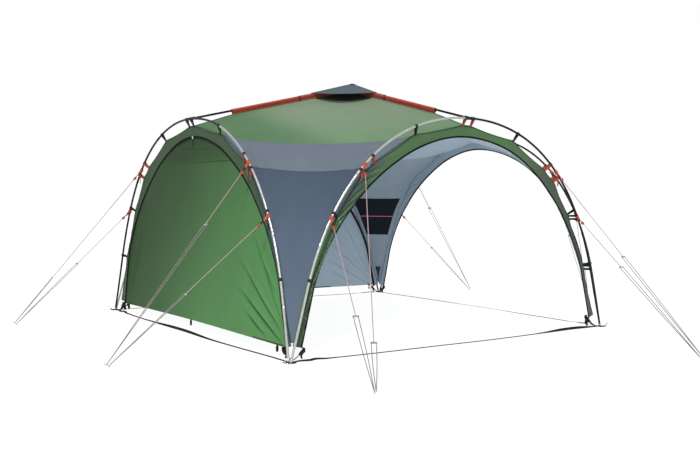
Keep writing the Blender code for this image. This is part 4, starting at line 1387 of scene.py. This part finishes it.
def make_sleeves(settings):
    """A flat red sleeve round each roof pole, sewn to the ridge, with a laced wrap near its top."""
    start, end = roof_pole_point(SLEEVE_START), roof_pole_point(SLEEVE_END)
    run = unit(end - start)
    side_way = np.array((1.0, 0, 0))
    up = np.cross(side_way, run)
    up = up if up[2] > 0 else -up
    length = np.linalg.norm(end - start)
    for number, (side, turn) in enumerate(SIDES.items()):
        piece = Piece("red")
        stops = np.linspace(0, length, 90)
        wave = SLEEVE_WAVE * uneven(stops * 14, 0 * stops, SEEDS["sleeve_wave"] + number)
        low = SLEEVE_SAG * uneven(stops * 9, 0 * stops, SEEDS["sleeve_sag"] + number)
        sections = []
        for stop, shake, sag in zip(stops, wave, low):
            centre = start + run * stop
            hem = 0.35 if stop < SLEEVE_HEM or stop > length - SLEEVE_HEM else 0.0
            wide = SLEEVE_RADIUS + 0.0006 * hem + shake * 0.4
            tall = SLEEVE_RADIUS + 0.0006 * hem
            flap = [side_way * x - up * (drop + sag) for x, drop in SLEEVE_FLAP]
            turns = np.radians(np.arange(210, -31, -20))
            over = [side_way * math.cos(a) * wide + up * math.sin(a) * tall for a in turns]
            left = [p * (-1, 1, 1) for p in flap]
            sections.append(np.array([*left, *over, *flap[::-1]]) + centre + side_way * shake)
        sections = np.array(sections)
        piece.cloth(sections, settings.thickness, "red", "red")
        wrap_at = start + run * ((SLEEVE_WRAP - SLEEVE_START) * length / (SLEEVE_END - SLEEVE_START))
        turns = np.radians(np.arange(0, 360, 15))
        wide, tall, drop = LACE
        hoop = [wrap_at + side_way * math.cos(a) * wide + up * (math.sin(a) * tall - drop) for a in turns]
        piece.strap(hoop, run, 0.010, LIGHT_WEBBING, "webbing", looped=True)
        made = piece.place(f"ridge_sleeve_{side}", "red_fabric", [f"sleeve_{side}"], turn)
        girth = run_lengths(sections[len(sections) // 2])[-1]
        ridge = Piece("green_tape")
        depths = np.linspace(BROW_DEPTH + EDGE_GAP, RIDGE_START, 60)
        path = [front(0, d, ridge_height(d) + 0.001) for d in depths]
        ridge.strap(path, side_way, 0.016, HEAVY_WEBBING)
        ridge.place(f"ridge_tape_{side}", "green_fabric", (), turn)


def make_cap():
    """A shallow four-sided cap with hollow sides, corner straps and a bound rim."""
    corner = roof_pole_point(CAP_START) + (0, 0, CAP_CLEAR + 0.002)
    peak = np.array((*CAP_LEAN, CAP_TOP + 0.002))
    piece = Piece("cap")
    gores = []
    for number, turn in enumerate(SIDES.values()):
        here, there = spin_about_z([corner, spin_about_z([corner], 90)[0]], turn)
        across = np.linspace(0, 1, CAP_COLUMNS)
        hollow = 4 * across * (1 - across) * CAP_SAG
        rim = here + (there - here) * across[:, None]
        inward = -unit(np.array([*rim[CAP_COLUMNS // 2, :2], 0]))
        rim = rim + inward * hollow[:, None]
        rim[:, 2] -= hollow / 2
        shares = np.linspace(0.02, 1, CAP_ROWS)[:, None]
        grid = peak + (rim - peak)[None] * shares[:, :, None]
        lift = -CAP_HOLLOW * np.sin(math.pi * across)[None] * np.sin(math.pi * shares ** 0.8)
        shake = CAP_WAVE * uneven(shares * 5, across[None] * 6, SEEDS["cap"] + number)
        lift = lift + shake * np.sin(math.pi * across)
        grid[:, :, 2] += lift
        piece.cloth(facing_out(grid), 0.0014, "cap", "inner")
        gores.append(grid)
        piece.tube(grid[:, 0] + (0, 0, 0.001), 0.0022, "slate_tape", CORD_SIDES)
        piece.tube(grid[-1] - (0, 0, 0.0005), 0.0030, "slate_tape", CORD_SIDES)
        strap_end = roof_pole_point(SLEEVE_WRAP + 0.005) + (0, 0, 0.016)
        strap_end = spin_about_z([strap_end], turn)[0]
        sideways = spin_about_z([(1, 0, 0)], turn)[0]
        strap = [here + (0, 0, -0.001), (here + strap_end) / 2, strap_end]
        piece.strap(strap, sideways, 0.010, 0.0014, "webbing")
    button = [peak - (0, 0, 0.004), peak - (0, 0, 0.001), peak + (0, 0, 0.0005)]
    piece.tube(button, (0.030, 0.024, 0.008), "cap", 24)
    declare_gores(piece.place("cap_cloth", "grey_fabric", ["cap"]), gores)


def make_netting():
    """Dark netting that closes the vent below the cap."""
    grid, _ = corner_grid()
    edge = grid[0] - (0, 0, NETTING_DROP)
    top = np.array((0, 0, ridge_height(HALF) - 2 * NETTING_DROP))
    piece = Piece("vent")
    gores = []
    for turn in CORNERS.values():
        shares = np.linspace(0.01, 0.985, 9)[:, None, None]
        rows = edge + (top - edge)[None] * shares
        rows = spin_about_z(rows.reshape(-1, 3), turn).reshape(rows.shape)
        piece.cloth(rows, 0.0012, "vent", "vent")
        gores.append(rows)
    depths = np.linspace(RIDGE_START, HALF - 0.02, 12)
    seam = [front(0, d, ridge_height(d) - 1.5 * NETTING_DROP) for d in depths]
    for turn in SIDES.values():
        piece.tube(spin_about_z(seam, turn), 0.002, "black_tape", CORD_SIDES)
    declare_gores(piece.place("vent_mesh", "netting", ["vent_netting"]), gores)


def curtain_grid(side):
    """A wall that hangs in its arch, with the folds that pull out of its lower corners."""
    _, rim, _ = brow_borders(side)
    arch = rim[len(rim) // 2 :] + (0, HALF, 0)
    runs = np.gradient(arch, axis=0)
    outwards = np.stack([-runs[:, 2], 0 * runs[:, 0], runs[:, 0]], axis=1)
    outwards /= np.linalg.norm(outwards, axis=1, keepdims=True)
    arch = evenly(arch + outwards * CURTAIN_TUCK + (0, 0.006, 0), CURTAIN_ROWS)[1:]
    hem = CURTAIN_HEM if side == "left" else CURTAIN_HEM + HEM_DIP
    arch = np.concatenate([arch[arch[:, 2] > hem + 0.006], [at_height(arch, hem)]])
    spread = np.linspace(-1, 1, CURTAIN_COLUMNS) * CURTAIN_SPREAD
    across = np.sin(spread) / math.sin(CURTAIN_SPREAD)
    along = arch[:, :1] * across[None]
    height = np.repeat(arch[:, 2:], len(across), axis=1)
    hand = 1 if side == "left" else -1
    spots = np.stack([along * hand, height], axis=2)
    near_rim = np.minimum(1, (1 - np.abs(across))[None] * arch[:, :1] / CURTAIN_RIM)
    lift = CURTAIN_WAVE * uneven(along * 2.0, height * 2.4, SEEDS["curtain"] + SIDES[side])
    bulge = CURTAIN_BULGE * np.cos(along / arch[:, :1].max() * math.pi / 2)
    lift = lift + bulge * np.sin(np.clip(height / 1.7, 0, 1) * math.pi)
    for start, end, depth in CURTAIN_CREASES:
        deep = depth * CREASE_LIFT[side]
        lift = lift + crease(spots, np.array(start), np.array(end), 0.012 + 0.35 * depth, deep)
    depths = (CURTAIN_DEPTH - lift) * near_rim + arch[:, 1:2] * (1 - near_rim)
    grid = np.stack([along, depths - HALF, height], axis=2)
    if side == "left":
        grid[:, :, 2] -= HEM_DIP * (np.abs(along) / 1.6) ** 2 * np.clip((0.5 - height) / 0.4, 0, 1)
    return grid, spots


def crease(spots, start, end, width, depth):
    """A valley along one line with a swell beside it, which fades at its ends."""
    run = end - start
    length = np.linalg.norm(run)
    share = ((spots - start) @ run) / length ** 2
    off = ((spots - start) @ np.array((-run[1], run[0]))) / length
    fade = np.clip(np.sin(np.clip(share, 0, 1) * math.pi), 0, 1) ** 0.6
    narrow = width * (1.35 - 0.7 * np.clip(share, 0, 1))
    valley = np.exp(-((off / narrow) ** 2))
    swell = 0.7 * np.exp(-(((off - 1.9 * narrow) / narrow) ** 2))
    return -depth * fade * (valley - swell)


def make_curtains(settings):
    for side in ("left", "back"):
        turn = SIDES[side]
        grid, spots = curtain_grid(side)
        normals = sheet_normals(grid)
        middle = grid.shape[1] // 2
        if normals[len(grid) // 2, middle, 1] > 0:
            grid, spots, normals = grid[:, ::-1], spots[:, ::-1], -normals[:, ::-1]
        piece = Piece("wall")
        piece.cloth(grid, settings.thickness, "wall", "inner", weave=spots)
        raised_tape(piece, grid[-1] + (0, 0, 0.006), normals[-1], 0.014, 0.0, "green_tape")
        row = int(np.argmin(np.abs(grid[:, middle, 2] - CURTAIN_SEAM)))
        raised_tape(piece, grid[row], normals[row], 0.012, 0.0010, "green_tape")
        hem = grid[-1, np.argsort(grid[-1, :, 0])]
        turns = np.linspace(0, math.tau, 20)[:-1]
        for low in at_lengths(hem, hem[:, 0], HEM_LOOPS):
            loop = [low + (math.sin(a) * 0.010, 0, -0.026 - math.cos(a) * 0.026) for a in turns]
            piece.strap(loop, (0, 1, 0), 0.012, LIGHT_WEBBING, "webbing", looped=True)
        made = piece.place(f"wall_cloth_{side}", "green_fabric", [f"curtain_{side}"], turn)
        declare_stretched(grid)

        zip_piece = Piece("black_tape")
        inside = brow_borders(side)[1] + (0, 0.014, 0)
        outwards = np.array([(d[2], 0, -d[0]) for d in np.gradient(inside, axis=0)])
        zip_piece.strap(inside, outwards, 0.030, LIGHT_WEBBING, "black_tape")
        zip_piece.tube(inside + (0, 0.002, 0), 0.0028, "black_plastic", CORD_SIDES)
        apex = front(0, CURTAIN_DEPTH - 0.018, BROW_TOP - 0.004)
        slider = [apex + (0, 0, s) for s in (0.014, 0.012, -0.010, -0.012)]
        zip_piece.tube(slider, (0.003, 0.006, 0.006, 0.003), "pale_plastic", 12)
        pull = [apex + step for step in ((0, 0, -0.008), (0.004, -0.001, -0.04), (-0.003, 0.004, -0.075))]
        zip_piece.strap(pull, (1, 0, 0), 0.010, LIGHT_WEBBING, "webbing")
        zip_piece.place(f"wall_zip_{side}", "black_webbing", (), turn)


def make_pocket():
    """A netting pocket on the inner face of the back right corner, bound with a pink tape."""
    grid, _ = corner_grid()
    columns = np.linspace(0, 1, grid.shape[1])
    inward = unit(np.array((1, 1, -0.35))) * POCKET_DEPTH
    rows = []
    for share in np.linspace(0, 1, 24):
        height = POCKET_HEIGHTS[0] + (POCKET_HEIGHTS[1] - POCKET_HEIGHTS[0]) * share
        margin = POCKET_MARGINS[0] + (POCKET_MARGINS[1] - POCKET_MARGINS[0]) * share
        level = [at_height(column, height) for column in grid.swapaxes(0, 1)]
        rows.append(at_lengths(level, columns, np.linspace(margin, 1 - margin, 28)) + inward)
    rows = np.array(rows)
    piece = Piece("pocket")
    piece.cloth(rows, 0.0012, "pocket", "pocket")
    normals = sheet_normals(rows)
    raised_tape(piece, rows[POCKET_TRIM], -normals[POCKET_TRIM], 0.010, 0.0014, "pink_tape")
    raised_tape(piece, rows[0], -normals[0], 0.014, 0.0008, "black_tape")
    made = piece.place("pocket_cloth", "netting", ["mesh_pocket"], CORNERS["back_right"])
    declare_stretched(rows)


def foot_piece(low_use, low_width):
    """Webbing pad, steel ring and the two buckled tabs of one foot."""
    piece = Piece("webbing")
    corner = np.array((-PAD_CENTRE, -PAD_CENTRE, PAD_HEIGHT / 2))
    piece.slab(corner, np.eye(3), (2 * PAD_HALF, 2 * PAD_HALF, PAD_HEIGHT), "webbing", corner=0.12, bevel=0.4)
    outward = unit(np.array((-1.0, -1.0, 0)))
    lean = math.radians(RING_LEAN)
    rise = outward * math.cos(lean) + np.array((0, 0, math.sin(lean)))
    sideways = unit(np.array((1.0, -1.0, 0)))
    middle = np.array((-RING_CENTRE, -RING_CENTRE, RING_WIRE + RING_RADIUS * math.sin(lean)))
    turns = np.arange(0, 360, 9) * math.pi / 180
    ring = [middle + (sideways * math.cos(a) + rise * math.sin(a)) * RING_RADIUS for a in turns]
    piece.tube(ring, RING_WIRE, "ring", 12, looped=True)
    low = middle - rise * RING_RADIUS
    strip = [low + rise * 0.010 + (0, 0, 0.001), low + (0, 0, 0.0045), (-1.758, -1.758, 0.0045)]
    piece.strap(strip, sideways, 0.024, 0.0020, "webbing")
    tab = evenly([front(-along, TAB_DEPTH, height) for along, height in TAB_PATH], TAB_STEPS)
    for swap in (False, True):
        run = tab[:, [1, 0, 2]] if swap else tab
        across = np.array((1.0, 0, 0)) if swap else np.array((0, 1.0, 0))
        piece.strap(run[: TAB_WIDENS + 1], across, low_width, TAB_WEBBING, low_use)
        piece.strap(run[TAB_WIDENS:], across, TAB_WIDTH, TAB_WEBBING, "webbing")
        low_end, high_end = run[list(BUCKLE_STEPS)]
        climb = unit(high_end - low_end)
        thin = unit(np.cross(climb, across))
        centre = (low_end + high_end) / 2
        axes = (climb, across, thin)
        piece.slab(centre, axes, BUCKLE, "black_plastic", 0.35, 0.3)
        bar = (0.007, BUCKLE[1] * 0.8, BUCKLE[2] + 0.005)
        for off in (-0.016, 0.0, 0.016):
            piece.slab(centre + climb * off, axes, bar, "black_plastic", 0.4, 0.3)
        end, inwards = run[TAIL_STEP], across * 0.010
        tail = [end, end + climb * 0.012 + inwards * 0.5, end + inwards - (0, 0, 0.010)]
        tail += [end + inwards * 1.8 - (0, 0, 0.028), end + inwards * 1.2 - (0, 0, 0.048)]
        piece.strap(evenly(tail, 14), across, TAB_WIDTH * 0.62, HEAVY_WEBBING, "webbing")
    return piece


def make_feet():
    for corner, turn in CORNERS.items():
        low_use, share = ("grey_webbing", 0.4) if corner == "front_left" else ("webbing", 0.7)
        piece = foot_piece(low_use, TAB_WIDTH * share)
        piece.place(f"foot_webbing_{corner}", "black_webbing", [f"foot_{corner}"], turn)


def make_ground_straps(settings):
    """Webbing that bows a little on the ground, wavy at one end and partly turned on its edge."""
    for number, (side, turn) in enumerate(SIDES.items()):
        piece = Piece("webbing")
        along = np.linspace(-STRAP_END, STRAP_END, 160)
        slow = np.cos(math.pi / 2 * along / STRAP_END)
        bow = STRAP_BOW * slow
        if side == "left":
            bow = bow * (1 - 0.35 * along / STRAP_END)
        near = np.exp(-((along + STRAP_END - KINK_PLACE[0]) / KINK_PLACE[1]) ** 2)
        shake = STRAP_WAVE * uneven(along * 5.0, 0 * along, SEEDS["ground_strap"] + number) * slow ** 0.5
        shake = shake + KINK_DEPTH * near * np.sin((along + STRAP_END) * KINK_PACE)
        middle, reach, upright = STRAP_TURNS.get(side, FLAT_TURN)
        edge = math.radians(upright) * np.exp(-((along - middle) / reach) ** 2)
        edge = edge + math.radians(KINK_TURN) * near
        lift = settings.width / 2 * np.sin(edge) + 0.0014
        path = np.array([front(a, STRAP_DEPTH - b + s, z) for a, b, s, z in zip(along, bow, shake, lift)])
        wide = np.stack([0 * along, np.cos(edge), np.sin(edge)], axis=1)
        piece.strap(path, wide, settings.width, HEAVY_WEBBING)
        piece.place(f"ground_webbing_{side}", "black_webbing", [f"ground_strap_{side}"], turn)


def guy_line(piece, pole, along, end, share, guys, loose):
    """Red strap and toggle at the hoop, a single cord to the runner, and two strands on to the peg."""
    run = unit(end - pole)
    wide = unit(np.cross(run, (0, 0, 1)))
    thin = np.cross(run, wide)
    stops, radii = COLLAR_SHAPE
    piece.tube([pole + along * (s * COLLAR_HALF) for s in stops], radii, "red_plastic", 16)
    loop = loop_path(pole, pole + run * GUY_LOOP, along, 0.0145)
    piece.strap(loop, along, 0.026, 0.0020, "red_webbing", looped=True)
    axes = (along, np.cross(run, along), run)
    piece.slab(pole + run * GUY_TOGGLES[0], axes, (0.034, 0.020, 0.026), "red_plastic", 0.6, 0.4)
    strap = [pole + run * s for s in np.linspace(*GUY_STRAP, 6)]
    piece.strap(strap, along, 0.014, HEAVY_WEBBING, "webbing")
    piece.slab(pole + run * GUY_TOGGLES[1], (run, wide, thin), (0.036, 0.030, 0.018), "red_plastic", 0.7, 0.5)
    if loose:
        start = pole + run * 0.016
        hang = [start, start + run * 0.012 - (0, 0, 0.030), start + run * 0.004 - (0, 0, 0.078)]
        piece.strap(evenly(hang, 9), along, 0.020, TIE_WEBBING, "red_webbing")
    runner = pole + (end - pole) * share
    start = pole + run * GUY_CORD
    cord = [start + (runner - start) * s for s in np.linspace(0, 1, 24)]
    piece.tube(cord, guys.radius, "braid", CORD_SIDES)
    piece.slab(runner, (wide, run, thin), (guys.spread + 0.010, 0.015, 0.009), "pale_plastic", 0.8, 0.4)
    for half in (-1, 1):
        start = runner + wide * half * guys.spread / 2
        bulge = np.sin(np.linspace(0, math.pi, 24)) * 0.004 * half
        strand = [start + (end - start) * s + wide * b for s, b in zip(np.linspace(0, 0.998, 24), bulge)]
        piece.tube(strand, guys.radius * 0.9, "low_braid", CORD_SIDES)


def make_guys(settings):
    for name, (side, half, peg_along, peg_out, runners) in GUYS.items():
        line = hoop_line(side)
        piece = Piece("braid")
        foot = front(half * peg_along, -peg_out, 0)
        neck = foot + (0, 0, PEG_NECK - PEG_RADIUS / 2)
        tip = foot + (0, -PEG_TIP[0], PEG_TIP[1])
        for point, share, hold in zip(GUY_POINTS, runners, GUY_HOLDS):
            pole, along = on_line(line, front(half * point[0], 0, point[1]))
            end = neck + (tip - neck) * hold
            guy_line(piece, pole, along, end, share, settings, point == GUY_POINTS[0])
        stem = [foot + (0, 0, z) for z in (0.0, 0.003, 0.006)]
        head = [neck + (tip - neck) * s for s in (0.08, 0.2, 0.9, 0.97, 1.0)]
        radii = PEG_RADIUS * np.array((0.9, 0.9, 0.9, 0.9, 0.9, 0.9, 0.8, 0.4))
        piece.tube(stem + head, radii, "ring", 12)
        piece.place(f"guy_rope_{name}", "guy_line", [f"guy_{name}"], SIDES[side])


def make_stage(settings):
    scene = bpy.context.scene
    floor_mesh = bpy.data.meshes.new("floor")
    corners = [(x * FLOOR_REACH, y * FLOOR_REACH, 0) for x, y in ((-1, -1), (1, -1), (1, 1), (-1, 1))]
    floor_mesh.from_pydata(corners, [], [(0, 1, 2, 3)])
    floor = bpy.data.objects.new("floor", floor_mesh)
    scene.collection.objects.link(floor)
    paint = Finish("floor_paint", 0.9, Emission_Strength=settings.floor)
    paint.feed("Base Color", (0.08, 0.08, 0.08))
    paint.feed("Emission Color", (1.0, 1.0, 1.0))
    floor_mesh.materials.append(paint.material)

    world = bpy.data.worlds.new("surround")
    sky = Graph(world)
    x, y, z = sky.split(sky.node("ShaderNodeTexCoord", {}))
    ahead = (x * math.sin(settings.heading) + y * math.cos(settings.heading)).over(0.55, 0.87)
    behind = ahead * (1.0 - z.over(0.30, 0.60))
    glow = sky.tree.nodes["Background"]
    sky.join(glow.inputs["Color"], (1.0, 1.0, 1.0))
    sky.join(glow.inputs["Strength"], behind * (settings.backdrop - settings.surround) + settings.surround)
    scene.world = world

    lamp = bpy.data.lights.new("sun", "SUN")
    lamp.energy = settings.sun
    lamp.angle = math.radians(SUN_ANGLE)
    sun = bpy.data.objects.new("sun", lamp)
    sun.rotation_euler = Vector(SUN_FROM).to_track_quat("Z", "Y").to_euler()
    scene.collection.objects.link(sun)

    heading, tilt, roll = settings.heading, settings.tilt, settings.roll
    look = Vector((math.sin(heading) * math.cos(tilt), math.cos(heading) * math.cos(tilt), -math.sin(tilt)))
    right = look.cross(Vector((0, 0, 1))).normalized()
    up = right.cross(look)
    turned_right = right * math.cos(roll) + up * math.sin(roll)
    turned_up = up * math.cos(roll) - right * math.sin(roll)
    data = bpy.data.cameras.new("camera")
    data.sensor_fit = "HORIZONTAL"
    data.sensor_width = 36.0
    data.lens = settings.focal * data.sensor_width / FRAME_WIDTH
    data.clip_end = 500.0
    camera = bpy.data.objects.new("camera", data)
    axes = Matrix((turned_right, turned_up, -look)).transposed()
    camera.matrix_world = Matrix.Translation(settings.place) @ axes.to_4x4()
    scene.collection.objects.link(camera)
    scene.camera = camera
    scene.view_settings.view_transform = "Standard"
    scene.view_settings.look = "None"


class SHELTER_OT_hoops(bpy.types.Operator):
    """Adds the four hoop poles"""

    bl_idname = "shelter.hoops"
    bl_label = "Hoop poles"

    def execute(self, context):
        make_hoops(context.scene.shelter_poles)
        return {"FINISHED"}


class SHELTER_OT_roof_poles(bpy.types.Operator):
    """Adds the four roof poles with their tees"""

    bl_idname = "shelter.roof_poles"
    bl_label = "Roof poles"

    def execute(self, context):
        make_roof_poles(context.scene.shelter_poles)
        return {"FINISHED"}


class SHELTER_OT_hub(bpy.types.Operator):
    """Adds the hub that the roof poles meet in"""

    bl_idname = "shelter.hub"
    bl_label = "Hub"

    def execute(self, context):
        make_hub()
        return {"FINISHED"}


class SHELTER_OT_canopy(bpy.types.Operator):
    """Adds the roof panels, corner bands and corner panels"""

    bl_idname = "shelter.canopy"
    bl_label = "Canopy"

    def execute(self, context):
        make_canopy(context.scene.shelter_fabric)
        return {"FINISHED"}


class SHELTER_OT_brows(bpy.types.Operator):
    """Adds the bands round the arches with their trims and ties"""

    bl_idname = "shelter.brows"
    bl_label = "Brows and ties"

    def execute(self, context):
        make_brows(context.scene.shelter_fabric)
        return {"FINISHED"}


class SHELTER_OT_sleeves(bpy.types.Operator):
    """Adds the red sleeves and the tapes on the ridges"""

    bl_idname = "shelter.sleeves"
    bl_label = "Sleeves"

    def execute(self, context):
        make_sleeves(context.scene.shelter_fabric)
        return {"FINISHED"}


class SHELTER_OT_cap(bpy.types.Operator):
    """Adds the cap and the netting below it"""

    bl_idname = "shelter.cap"
    bl_label = "Cap and vent"

    def execute(self, context):
        make_cap()
        make_netting()
        return {"FINISHED"}


class SHELTER_OT_curtains(bpy.types.Operator):
    """Adds the two curtain walls with their zips"""

    bl_idname = "shelter.curtains"
    bl_label = "Curtain walls"

    def execute(self, context):
        make_curtains(context.scene.shelter_fabric)
        return {"FINISHED"}


class SHELTER_OT_pocket(bpy.types.Operator):
    """Adds the netting pocket"""

    bl_idname = "shelter.pocket"
    bl_label = "Pocket"

    def execute(self, context):
        make_pocket()
        return {"FINISHED"}


class SHELTER_OT_feet(bpy.types.Operator):
    """Adds the webbing pads, rings and buckled tabs"""

    bl_idname = "shelter.feet"
    bl_label = "Feet"

    def execute(self, context):
        make_feet()
        return {"FINISHED"}


class SHELTER_OT_ground_straps(bpy.types.Operator):
    """Adds the webbing on the ground between the feet"""

    bl_idname = "shelter.ground_straps"
    bl_label = "Ground straps"

    def execute(self, context):
        make_ground_straps(context.scene.shelter_webbing)
        return {"FINISHED"}


class SHELTER_OT_guys(bpy.types.Operator):
    """Adds the guy lines, runners and pegs"""

    bl_idname = "shelter.guys"
    bl_label = "Guys"

    def execute(self, context):
        make_guys(context.scene.shelter_guys)
        return {"FINISHED"}


class SHELTER_OT_stage(bpy.types.Operator):
    """Adds the floor, the light and the camera"""

    bl_idname = "shelter.stage"
    bl_label = "Stage"

    def execute(self, context):
        make_stage(context.scene.shelter_stage)
        return {"FINISHED"}


OPERATORS = (
    SHELTER_OT_stage,
    SHELTER_OT_hoops,
    SHELTER_OT_roof_poles,
    SHELTER_OT_hub,
    SHELTER_OT_canopy,
    SHELTER_OT_brows,
    SHELTER_OT_sleeves,
    SHELTER_OT_cap,
    SHELTER_OT_curtains,
    SHELTER_OT_pocket,
    SHELTER_OT_feet,
    SHELTER_OT_ground_straps,
    SHELTER_OT_guys,
)


class SHELTER_PT_panel(bpy.types.Panel):
    """Lists the pieces of the shelter and their settings"""

    bl_idname = "SHELTER_PT_panel"
    bl_label = "Camping shelter"
    bl_space_type = "VIEW_3D"
    bl_region_type = "UI"
    bl_category = "Shelter"

    def draw(self, context):
        for operator in OPERATORS:
            self.layout.operator(operator.bl_idname)
        for name, group in SETTINGS.items():
            box = self.layout.box()
            for key in group.__annotations__:
                box.prop(getattr(context.scene, name), key)


def register():
    for group in SETTINGS.values():
        bpy.utils.register_class(group)
    for operator in OPERATORS:
        bpy.utils.register_class(operator)
    bpy.utils.register_class(SHELTER_PT_panel)
    for name, group in SETTINGS.items():
        setattr(bpy.types.Scene, name, bpy.props.PointerProperty(type=group))


def unregister():
    for name in SETTINGS:
        delattr(bpy.types.Scene, name)
    bpy.utils.unregister_class(SHELTER_PT_panel)
    for operator in reversed(OPERATORS):
        bpy.utils.unregister_class(operator)
    for group in reversed(SETTINGS.values()):
        bpy.utils.unregister_class(group)


def main():
    register()
    for operator in OPERATORS:
        group, name = operator.bl_idname.split(".")
        getattr(getattr(bpy.ops, group), name)()
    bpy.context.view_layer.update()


if __name__ == "__main__":
    main()
